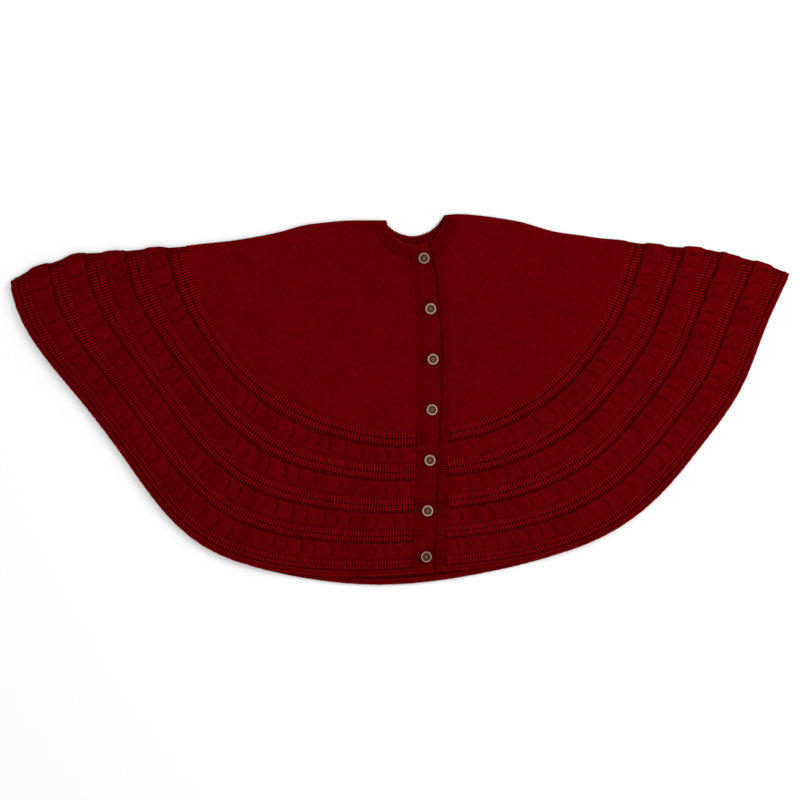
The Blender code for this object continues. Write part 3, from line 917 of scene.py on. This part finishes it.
def bakeNodes(name, guideMesh, tree, shape, spec):
    # runs the tree on the guide, keeps the result as a plain mesh, and drops the modifier
    values = {"shape": shape, "yarn": litStrandYarn, **spec}
    piece = bpy.data.objects.new(name, guideMesh)
    bpy.context.scene.collection.objects.link(piece)
    modifier = piece.modifiers.new("nodes", "NODES")
    modifier.node_group = tree
    for item in tree.interface.items_tree:
        if item.in_out == "INPUT" and item.name.lower() in values:
            modifier[item.identifier] = values[item.name.lower()]
    bpy.context.view_layer.update()
    result = bpy.data.meshes.new_from_object(
        piece.evaluated_get(bpy.context.evaluated_depsgraph_get()))
    piece.modifiers.clear()
    piece.data = result
    result.name = name
    result.materials.clear()
    result.materials.append(litStrandYarn)
    result.shade_smooth()
    return piece


def templateObject(name, points, faces):
    # a small shape that only the node trees use
    mesh = bpy.data.meshes.new(name)
    mesh.from_pydata(points, [], faces)
    outwardAndSmooth(mesh, 80)
    piece = bpy.data.objects.new(name, mesh)
    bpy.context.scene.collection.objects.link(piece)
    return piece


def sweep(path, halfWidths, halfHeights, sides=6):
    # a closed strand along a path of (x, y, z): points and faces
    points, faces = [], []
    path = [Vector(place) for place in path]
    for i, place in enumerate(path):
        ahead = path[min(i + 1, len(path) - 1)] - path[max(i - 1, 0)]
        ahead.normalize()
        aside = Vector((0, 0, 1)).cross(ahead)
        aside = aside.normalized() if aside.length > 0.05 else Vector((0, 1, 0))
        upward = ahead.cross(aside)
        for k in range(sides):
            turn = 2 * math.pi * (k + 0.5) / sides
            points.append(tuple(place + aside * (math.cos(turn) * halfWidths[i])
                                + upward * (math.sin(turn) * halfHeights[i])))
    for i in range(len(path) - 1):
        for k in range(sides):
            after = (k + 1) % sides
            faces.append((i * sides + k, i * sides + after,
                          (i + 1) * sides + after, (i + 1) * sides + k))
    faces.append(tuple(reversed(range(sides))))
    faces.append(tuple((len(path) - 1) * sides + k for k in range(sides)))
    return points, faces


# the lace: a ladder of zigzag rungs over each eyelet stretch
lace = {"seed": 5, "variation": 0.16, "height": 0.0008, "waist": 0.00045, "belly": 0.0021,
        "zigzag": 0.00080, "clearOfFold": 0.0095, "clearOfSeam": 0.0030}


def rungShape():
    path, widths, lifts = [(-0.5, 0, 0)], [0.0009], [lace["height"] * 0.6]
    start = 0.0
    for number, (place, half, openness) in enumerate(laceRows):
        aside = lace["zigzag"] * (-1) ** number
        narrow = lace["belly"] + (lace["waist"] - lace["belly"]) * openness
        path.append(((start + place) / 2 - 0.5, aside, 0.0002))
        widths.append(lace["belly"])
        lifts.append(lace["height"])
        for end in ((-0.034, 0.034) if openness > 0.9 else (0,)):
            path.append((place + end - 0.5, aside * 0.2, -0.0001))
            widths.append(narrow)
            lifts.append(lace["height"] * 0.8)
        start = place
    path.append((0.5, 0, 0))
    widths.append(0.0007)
    lifts.append(lace["height"] * 0.6)
    return sweep(path, widths, lifts, 4)


def rungPlaces(body, spec):
    # where each rung goes on a front, its turn and its reach
    angle, radius, topZ = grids[body]
    rows = spec["rows"]
    places, turns, reaches = [], [], []
    for index, (end, kind, count) in enumerate(stretches):
        if kind != "lace":
            continue
        mine = [i for i, row in enumerate(rows) if row[2] == index]
        first, last = mine[0], mine[-1] + 1
        middleRow = (first + last) // 2
        pitch = knit["lacePitch"] / stretchMiddles[index]
        shift = knit["stagger"] * index / stretchMiddles[index]
        low = math.ceil((angle[middleRow].min() + shift) / pitch)
        high = math.floor((angle[middleRow].max() + shift) / pitch)
        for k in range(low, high + 1):
            turn = k * pitch - shift
            inner = np.interp(turn, angle[first], radius[first])
            outer = np.interp(turn, angle[last], radius[last])
            where = (inner + outer) / 2
            height = np.interp(turn, angle[middleRow], topZ[middleRow])
            clear = True
            for isFold, side, fold in ((spec["leftIsFold"], -1, leftFold),
                                       (spec["rightIsFold"], 1, rightFold)):
                if isFold:
                    for r in (inner, outer):
                        inFrom = r * math.sin(min(fold - side * turn, 1.5)) - creaseOffset(side, r)
                        clear = clear and inFrom > lace["clearOfFold"]
            for isFold, edge in ((spec["leftIsFold"], angle[middleRow].min()),
                                 (spec["rightIsFold"], angle[middleRow].max())):
                if not isFold and abs(turn - edge) * where < lace["clearOfSeam"]:
                    clear = False
            if clear:
                places.append((*onPlane(where, turn), height + lace["height"] * 0.35))
                turns.append(turn - math.pi / 2)
                reaches.append((outer - inner) * 0.97)
    guide = bpy.data.meshes.new(body + "_rung_places")
    guide.from_pydata(places, [], [])
    for name, values in (("turn", turns), ("reach", reaches)):
        guide.attributes.new(name, "FLOAT", "POINT").data.foreach_set("value", values)
    return guide


rung = templateObject("rungShape", *rungShape())
rungNodes = rungTree()
for body in ("left_front", "right_front"):
    piece = bakeNodes(body + "_lace", rungPlaces(body, cloth[body]), rungNodes, rung, lace)
    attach(piece, body)
    print(body, "lace", len(piece.data.polygons), "faces")
bpy.data.objects.remove(rung)

# the placket: the buttonhole band over the button band
placket = {
    "ribPitch": 0.0041, "ribHeight": 0.00045, "pucker": 0.0006, "puckerReach": 0.013,
    "dimple": 0.0022, "dimpleReach": 0.0130, "thinnest": 0.0009, "edgeWave": 0.0025,
    "seamTaper": 0.0095, "seamDrop": 0.0009, "gather": 0.0007, "lip": 0.0008,
    "slit": 0.0190, "slitGap": 0.00045, "length": 0.52, "rowStep": 0.00085,
}
buttonNames = sorted(joint for joint in joints if joint.startswith("button_"))
buttonPlaces = [Vector(joints[name]["pos_m"]) for name in buttonNames]


def gridSolid(name, top, bottom, openCells, dark, along):
    # a thin solid from two grids of points, open where openCells says
    rows, columns = top.shape[:2]
    count = rows * columns
    points = np.concatenate([top.reshape(-1, 3), bottom.reshape(-1, 3)])
    faces = []

    def isOpen(i, j):
        return i < 0 or j < 0 or i >= rows - 1 or j >= columns - 1 or openCells[i, j]

    for i in range(rows - 1):
        for j in range(columns - 1):
            if openCells[i, j]:
                continue
            a, b = i * columns + j, i * columns + j + 1
            c, d = (i + 1) * columns + j + 1, (i + 1) * columns + j
            faces.append((a, b, c, d))
            faces.append((a + count, d + count, c + count, b + count))
            for (p, q), (di, dj) in (((a, b), (-1, 0)), ((b, c), (0, 1)), ((c, d), (1, 0)),
                                     ((d, a), (0, -1))):
                if isOpen(i + di, j + dj):
                    faces.append((q, p, p + count, q + count))
    mesh = bpy.data.meshes.new(name)
    mesh.from_pydata(points.tolist(), [], faces)
    mesh.validate()
    work = bmesh.new()
    work.from_mesh(mesh)
    bmesh.ops.recalc_face_normals(work, faces=work.faces[:])
    loose = [vertex for vertex in work.verts if not vertex.link_faces]
    keep = np.array([bool(vertex.link_faces) for vertex in work.verts])
    bmesh.ops.delete(work, geom=loose, context="VERTS")
    work.to_mesh(mesh)
    work.free()
    mesh.shade_smooth()
    mesh.set_sharp_from_angle(angle=math.radians(70))
    values = np.zeros((int(keep.sum()), 3), np.float32)
    values[:, 0] = np.concatenate([along.reshape(-1)] * 2)[keep]
    writeKnit(mesh, np.concatenate([dark.reshape(-1)] * 2)[keep], "POINT", values)
    return mesh


def placketGrid(nodeName, columns):
    # radius and angle of a grid between a placket node's two long edges
    leftEdge, rightEdge = edgeOf(nodeName, -1), edgeOf(nodeName, 1)
    share = np.linspace(0, 1, int(placket["length"] / placket["rowStep"]))[:, None]
    radius = 0.06 + placket["length"] * share
    for _ in range(8):
        left = np.interp(radius[:, 0], leftEdge[:, 0], leftEdge[:, 1])[:, None]
        right = np.interp(radius[:, -1], rightEdge[:, 0], rightEdge[:, 1])[:, None]
        angle = left + (right - left) * columns[None, :]
        neck = radiusToCircle(neckline, angle)
        hem = np.interp(angle, hemAngles, frontHem)
        radius = neck + (hem - neck) * share
    return radius, angle, neck, hem


# shares across the band, finer at both edges
bandColumns = np.array(sorted({0.012, 0.03, 0.06, 0.94, 0.97, 0.988, *np.linspace(0, 1, 33)}))


def gatherAt(radius, hem):
    # 1 where a lace stretch pulls the placket in, 0 between
    out = (radius - knit["borderStart"]) / (hem - knit["borderStart"])
    found = np.zeros_like(out)
    for index, (end, kind, count) in enumerate(stretches):
        if kind == "lace":
            middle, half = (borders[index] + end) / 2, (end - borders[index]) / 2
            found += np.exp(-((out - middle) / half) ** 4)
    return found


def bandMesh(nodeName, onTop):
    # the band on top has the slits and thins towards its seam, and the other one lies flat
    low, high = heights(nodeName)
    columns = bandColumns
    radius, angle, neck, hem = placketGrid(nodeName, columns)
    x, y = onPlane(radius, angle)
    openCells = np.zeros((x.shape[0] - 1, x.shape[1] - 1), bool)
    dimple = np.zeros_like(x)
    pull = np.zeros_like(x)
    for place in buttonPlaces:
        apart = np.hypot(x - place.x, y - place.y)
        dimple += np.exp(-(apart / placket["dimpleReach"]) ** 4)
        pull += np.exp(-((y - place.y) / placket["puckerReach"]) ** 2)
        if not onTop:
            continue
        inRows = np.abs(y[:, 0] - place.y) < placket["slit"] / 2
        rows = np.where(inRows)[0]
        column = int(np.argmin(np.abs(x[rows[len(rows) // 2]] - place.x)))
        for i in rows:
            # the two lines either side of the slit move to its lips
            nearEnd = 1 - (abs(y[i, column] - place.y) / (placket["slit"] / 2)) ** 2
            gap = placket["slitGap"] * math.sqrt(max(nearEnd, 0)) + 0.00005
            x[i, column] = place.x - gap
            x[i, column + 1] = place.x + gap
        openCells[rows[0]:rows[-1], column] = True
    wobble = wobbleAt(y * 9, 1.7) + 0.6 * wobbleAt(y * 31, 0.4)
    freeEdge = easedStep(columns, 0.80, 1.0) if onTop else 0 * columns
    x = x + placket["edgeWave"] * wobble * freeEdge[None, :] * 0.8
    seam = easedStep(columns * (x[:, -1:] - x[:, :1]), 0, placket["seamTaper"])
    ribs = np.cos(2 * math.pi * (y + 0.0006 * wobbleAt(x * 40, 2.0)) / placket["ribPitch"])
    gather = gatherAt(radius, hem) * (1 - easedStep(columns if onTop else 1 - columns, 0.2, 0.8))
    strength = (placket["ribHeight"] + placket["pucker"] * np.clip(pull, 0, 1)
                + placket["gather"] * gather)
    dimple = np.clip(dimple, 0, 1) if onTop else 0 * dimple
    relief = strength * (1 - 0.7 * dimple) * (np.abs(ribs) ** 0.8 * np.sign(ribs) * 0.5 - 0.5)
    ends = taper(radius, neck, hem, 0.0024)
    full = high - 0.0003 + relief - placket["dimple"] * dimple
    full = np.maximum(full, low + placket["thinnest"])
    fromFree = x[:, -1:] - x
    edge = easedStep(fromFree, -0.0001, 0.0022)
    if onTop:
        full = full + placket["lip"] * np.exp(-((fromFree - 0.0028) / 0.0014) ** 2)
        lapZ = low - 0.0002
        topZ = lapZ + (full - lapZ) * seam
        bottomZ = np.full_like(topZ, low + knit["skin"]) - placket["seamDrop"] * (1 - seam)
        topZ = bottomZ + (topZ - bottomZ) * (0.40 + 0.60 * edge) * (0.45 + 0.55 * ends)
    else:
        leftEdge = easedStep((x - x[:, :1]), -0.0001, 0.0022)
        bottomZ = np.full_like(full, low + knit["skin"])
        topZ = bottomZ + (full - bottomZ) * (0.6 + 0.4 * ends * leftEdge)
    # painted shade in the valleys of the ribs and of the puckers by the buttons and the lace stretches
    dark = (0.42 * np.clip(pull, 0, 1) + 0.50 * gather) * (0.5 - 0.5 * ribs) ** 2
    dark = np.clip(dark + 0.20 * (0.5 - 0.5 * ribs), 0, 0.8)
    if onTop:
        # painted shadow along the free edge of the top band, kept off its raised lip
        dark = np.maximum(dark * (1 - np.exp(-((fromFree - 0.0035) / 0.0020) ** 2)),
                          0.95 * (1 - easedStep(fromFree, 0.0008, 0.0024)))
    else:
        # painted shadow on the lower band beside the top band's free edge
        lip = edgeOf("buttonhole_band", 1)
        beside = x - np.interp(-y, -lip[:, 3], lip[:, 2])
        dark = np.maximum(dark, 0.50 * (1 - easedStep(np.abs(beside - 0.0006), 0.0008, 0.0030)))
    grids[nodeName] = (angle, radius, topZ)
    top = np.stack([x, y, topZ], axis=-1)
    bottom = np.stack([x, y, bottomZ], axis=-1)
    return gridSolid(nodeName + "_knit", top, bottom, openCells, dark, x)


for nodeName, body, onTop in (("buttonhole_band", "left_front", True),
                              ("button_band", "right_front", False)):
    mesh = bandMesh(nodeName, onTop)
    piece = addPiece(nodeName + "_knit", mesh, clothYarn)
    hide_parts(nodeName)
    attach(piece, body)
print("placket made")

# the buttonholes' edging, a strand over each lip
edging = {"pitch": 0.00125, "strand": 0.00030, "over": 0.0011, "rise": 0.0003, "sunk": 0.0003,
          "steps": 28, "variation": 0.15, "seed": 8}


def edgingGuide():
    high = heights("buttonhole_band")[1]
    points, edges = [], []
    for place in buttonPlaces:
        first = len(points)
        for k in range(edging["steps"]):
            turn = 2 * math.pi * k / edging["steps"]
            along = (placket["slit"] / 2 + 0.0003) * math.cos(turn)
            sunk = placket["dimple"] * math.exp(-(along / placket["dimpleReach"]) ** 4)
            points.append((place.x + (placket["slitGap"] + 0.0007) * math.sin(turn),
                           place.y + along, high - 0.0003 - sunk - edging["sunk"]))
            edges.append((first + k, first + (k + 1) % edging["steps"]))
    guide = bpy.data.meshes.new("buttonholeLines")
    guide.from_pydata(points, edges, [])
    return guide


arch = [(0, edging["over"] * math.cos(turn), edging["rise"] * math.sin(turn))
        for turn in np.linspace(0, math.pi, 7)]
strand = [edging["strand"]] * len(arch)
stitch = templateObject("edgingShape", *sweep(arch, strand, strand, 5))
piece = bakeNodes("buttonhole_edging", edgingGuide(), edgingTree("edgingStitches"), stitch, edging)
bpy.data.objects.remove(stitch)
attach(piece, "left_front")
print("buttonholes edged", len(piece.data.polygons), "faces")

# the chain that binds off the neckline and the hem
chain = {"pitch": 0.0041, "length": 0.0048, "width": 0.00090, "strand": 0.00080, "inset": 0.0009,
         "guideStep": 0.004, "variation": 0.12, "seed": 3}


def chainShape():
    # one link: a strand out along one side and back along the other
    path = []
    for turn in np.linspace(0.0, 2 * math.pi, 11)[:-1]:
        path.append((chain["length"] / 2 * math.cos(turn + 0.3), chain["width"] * math.sin(turn + 0.3),
                     0.00030 * math.cos(turn + 0.3)))
    thick = [chain["strand"]] * len(path)
    return sweep(path, thick, thick, 4)


def chainGuide(name, lines):
    # each line is (grid, row, clear at its left end, clear at its right end, inwards)
    points, edges = [], []
    for gridName, row, clearLeft, clearRight, inwards in lines:
        angle, radius, topZ = grids[gridName]
        beside = row + (1 if row == 0 else -1)
        alongIt = radius[row] * angle[row]
        wanted = np.arange(alongIt.min() + clearLeft, alongIt.max() - clearRight, chain["guideStep"])
        first = len(points)
        for distance in wanted:
            turn = np.interp(distance, alongIt, angle[row])
            out = np.interp(distance, alongIt, radius[row]) + inwards * chain["inset"]
            height = np.interp(distance, alongIt, topZ[beside])
            points.append((*onPlane(out, turn), height))
        edges += [(first + k, first + k + 1) for k in range(len(wanted) - 1)]
    guide = bpy.data.meshes.new(name)
    guide.from_pydata(points, edges, [])
    return guide


fold = foldRoll["reach"] + 0.001
chainLines = {
    "left_front": [("left_front", -1, fold, 0.001, -1), ("buttonhole_band", -1, 0.003, 0.002, -1),
                   ("left_neckband", 0, fold, 0.001, 1), ("buttonhole_band", 0, 0.001, 0.002, 1)],
    "right_front": [("right_front", -1, 0.001, fold, -1), ("right_neckband", 0, 0.001, fold, 1)],
    "back": [("back", -1, fold, fold, -1), ("back_neckband", 0, fold, fold, 1)],
}
link = templateObject("chainShape", *chainShape())
chainNodes = edgingTree("boundOffChain")
for body, lines in chainLines.items():
    guide = chainGuide(body + "_chain_line", lines)
    piece = bakeNodes(body + "_chain", guide, chainNodes, link, chain)
    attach(piece, body)
    print(body, "chain", len(piece.data.polygons), "faces")
bpy.data.objects.remove(link)

# buttons
button = {"segments": 56, "holeRadius": 0.00062, "holeOut": 0.00125,
          "paleness": (0.72, 1.0, 1.0, 1.0, 1.0, 1.0, 0.62),
          "rimHorn": ((0.26, 0.165, 0.110), (0.52, 0.37, 0.27)),
          "dishHorn": ((0.010, 0.0036, 0.0020), (0.100, 0.0360, 0.0190)),
          "thread": ((0.22, 0.030, 0.026), (0.62, 0.190, 0.140))}
# (share of the radius, share of the height, paleness) from the middle of the back to the front
buttonProfile = [
    (0.00, 0.04, 0.3), (0.55, 0.02, 0.4), (0.80, 0.06, 0.7), (0.94, 0.20, 0.9), (1.00, 0.44, 1.0),
    (0.985, 0.68, 1.0), (0.94, 0.88, 1.0), (0.88, 0.98, 1.0), (0.82, 0.98, 1.0),
    (0.755, 0.88, 0.8), (0.72, 0.68, 0.15), (0.68, 0.50, 0.0), (0.60, 0.42, 0.0),
    (0.50, 0.40, 0.0), (0.42, 0.44, 0.04), (0.34, 0.51, 0.12), (0.20, 0.55, 0.10),
    (0.00, 0.56, 0.08),
]


def buttonMesh(name, nodeName, paleness):
    low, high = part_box(nodeName)
    middle = (low + high) / 2
    radius, tall = (high.x - low.x) / 2, high.z - low.z
    around = button["segments"]
    work = bmesh.new()
    pale = work.verts.layers.float.new("pale")
    rings = []
    for out, up, tone in buttonProfile:
        count = 1 if out == 0 else around
        ring = []
        for k in range(count):
            turn = 2 * math.pi * k / around
            vertex = work.verts.new((middle.x + radius * out * math.cos(turn),
                                     middle.y + radius * out * math.sin(turn),
                                     low.z + tall * up))
            vertex[pale] = tone * paleness
            ring.append(vertex)
        rings.append(ring)
    for one, two in zip(rings, rings[1:]):
        for k in range(around):
            after = (k + 1) % around
            if len(one) == 1:
                work.faces.new((one[0], two[after], two[k]))
            elif len(two) == 1:
                work.faces.new((one[k], one[after], two[0]))
            else:
                work.faces.new((one[k], one[after], two[after], two[k]))
    bmesh.ops.recalc_face_normals(work, faces=work.faces[:])
    mesh = bpy.data.meshes.new(name)
    work.to_mesh(mesh)
    work.free()
    return mesh


def holeCutter(nodeName):
    low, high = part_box(nodeName)
    middle = (low + high) / 2
    work = bmesh.new()
    for side in (-1, 1):
        for end in (-1, 1):
            made = bmesh.ops.create_cone(
                work, cap_ends=True, segments=14, radius1=button["holeRadius"],
                radius2=button["holeRadius"], depth=(high.z - low.z) * 2)
            bmesh.ops.translate(work, verts=made["verts"], vec=(
                middle.x + side * button["holeOut"], middle.y + end * button["holeOut"], middle.z))
    mesh = bpy.data.meshes.new("holes")
    work.to_mesh(mesh)
    work.free()
    cutter = bpy.data.objects.new("holes", mesh)
    bpy.context.scene.collection.objects.link(cutter)
    return cutter


def hornMaterial():
    material, tree, shader = newMaterial("buttonHorn", Specular_IOR_Level=0.08, Coat_Weight=0.02,
                                         Coat_Roughness=0.15)
    do = calculator(tree)
    pale = addNode(tree, "ShaderNodeAttribute", attribute_name="pale").outputs["Fac"]
    place = tree.nodes.new("ShaderNodeTexCoord").outputs["Object"]
    veins = addNode(tree, "ShaderNodeTexNoise", {"Scale": 320.0, "Detail": 5.0, "Distortion": 1.4,
                                                 "Vector": place}).outputs["Fac"]
    light, brown = (mixColours(tree, veins, *button[name]) for name in ("rimHorn", "dishHorn"))
    rough = do("MULTIPLY_ADD", pale, 0.30, 0.22)
    tree.links.new(do("MULTIPLY_ADD", veins, 0.12, rough), shader.inputs["Roughness"])
    dress(tree, shader, mixColours(tree, pale, brown, light), veins, 0.25, 0.0001)
    return material


def threadMaterial():
    material, tree, shader = newMaterial("sewingThread", Roughness=0.75, Specular_IOR_Level=0.2)
    place = tree.nodes.new("ShaderNodeTexCoord").outputs["Object"]
    ply = addNode(tree, "ShaderNodeTexWave", {"Scale": 900.0, "Distortion": 2.0,
                                              "Vector": place}).outputs["Fac"]
    dress(tree, shader, mixColours(tree, ply, *button["thread"]), ply, 0.4, 0.0001)
    return material


def threadMesh(name, threadNode, buttonNode):
    # strands through the four holes, and the wound stalk under the button
    low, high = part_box(threadNode)
    buttonLow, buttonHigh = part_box(buttonNode)
    middle = (buttonLow + buttonHigh) / 2
    top = buttonLow.z + (buttonHigh.z - buttonLow.z) * 0.62
    out = button["holeOut"]
    points, faces = [], []

    def addStrand(path, thick):
        strandPoints, strandFaces = sweep(path, [thick] * len(path), [thick] * len(path), 6)
        first = len(points)
        points.extend(strandPoints)
        faces.extend(tuple(first + index for index in face) for face in strandFaces)

    for end in (-1, 1):
        for lay in (-0.35, 0.35):
            path = []
            for turn in np.linspace(0, math.pi, 11):
                path.append((middle.x - out * 1.05 * math.cos(turn),
                             middle.y + end * out + lay * 0.0007,
                             top - 0.0007 + 0.0010 * math.sin(turn)))
            addStrand([(path[0][0], path[0][1], buttonLow.z + 0.0002)] + path
                      + [(path[-1][0], path[-1][1], buttonLow.z + 0.0002)], 0.00026)
    for lay in range(6):
        turn = 2 * math.pi * lay / 6
        stalk = (high.x - low.x) / 2 * 0.55
        path = [(middle.x + stalk * math.cos(turn + k * 0.35), middle.y + stalk * math.sin(turn + k * 0.35),
                 low.z + (buttonLow.z + 0.0003 - low.z) * k / 8) for k in range(9)]
        addStrand(path, stalk * 0.62)
    mesh = bpy.data.meshes.new(name)
    mesh.from_pydata(points, [], faces)
    outwardAndSmooth(mesh, 80)
    return mesh


horn = hornMaterial()
sewingThread = threadMaterial()
for number, jointName in enumerate(buttonNames, 1):
    nodeName, threadNode = "button_%d" % number, "button_thread_%d" % number
    shape = buttonMesh("button_%d_horn" % number, nodeName, button["paleness"][number - 1])
    piece = addPiece("button_%d_horn" % number, shape, horn)
    cutter = holeCutter(nodeName)
    cut = piece.modifiers.new("holes", "BOOLEAN")
    cut.operation = "DIFFERENCE"
    cut.solver = "EXACT"
    cut.object = cutter
    bpy.context.view_layer.update()
    mesh = bpy.data.meshes.new_from_object(piece.evaluated_get(bpy.context.evaluated_depsgraph_get()))
    piece.modifiers.clear()
    piece.data = mesh
    mesh.shade_smooth()
    mesh.set_sharp_from_angle(angle=math.radians(50))
    bpy.data.objects.remove(cutter)
    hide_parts(nodeName)
    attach(piece, nodeName)
    thread = addPiece("button_%d_thread" % number,
                      threadMesh("button_%d_thread" % number, threadNode, nodeName), sewingThread)
    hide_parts(threadNode)
    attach(thread, nodeName)
print("buttons made")

# studio
studio = {
    "ground": 0.93, "world": 0.92, "key": 16.0, "fill": 3.0,
    "lens": 85.0, "cameraHeight": 2.949, "cameraFromCentre": (-0.0086, -0.3004),
}


def makeStudio():
    floorMesh = bpy.data.meshes.new("floor")
    floorMesh.from_pydata([(-4, -4, 0), (4, -4, 0), (4, 4, 0), (-4, 4, 0)], [], [(0, 1, 2, 3)])
    paper = newMaterial("paper", Base_Color=(*[studio["ground"]] * 3, 1), Roughness=1.0,
                        Specular_IOR_Level=0.0)[0]
    floor = addPiece("floor", floorMesh, paper)
    floor.location.z = cadBox[0][2] - 0.0004
    world = bpy.data.worlds.new("studioWorld")
    world.use_nodes = True
    world.node_tree.nodes["Background"].inputs["Color"].default_value = (1, 1, 1, 1)
    world.node_tree.nodes["Background"].inputs["Strength"].default_value = studio["world"]
    bpy.context.scene.world = world
    for name, place, size, power in (("key", (1.5, 0.5, 1.3), 0.9, studio["key"]),
                                     ("fill", (-1.2, 1.2, 2.2), 2.0, studio["fill"])):
        light = bpy.data.lights.new(name, "AREA")
        light.energy = power
        light.size = size
        lamp = bpy.data.objects.new(name, light)
        lamp.location = place
        lamp.rotation_euler = (-Vector(place)).to_track_quat("-Z", "Y").to_euler()
        bpy.context.scene.collection.objects.link(lamp)
    bpy.context.scene.view_settings.view_transform = "Standard"
    eye = bpy.data.cameras.new("camera")
    eye.lens = studio["lens"]
    eye.sensor_width = 36
    camera = bpy.data.objects.new("camera", eye)
    aside, down = studio["cameraFromCentre"]
    camera.location = (centre.x + aside, centre.y + down, studio["cameraHeight"])
    bpy.context.scene.collection.objects.link(camera)
    bpy.context.scene.camera = camera


makeStudio()
bpy.context.view_layer.update()
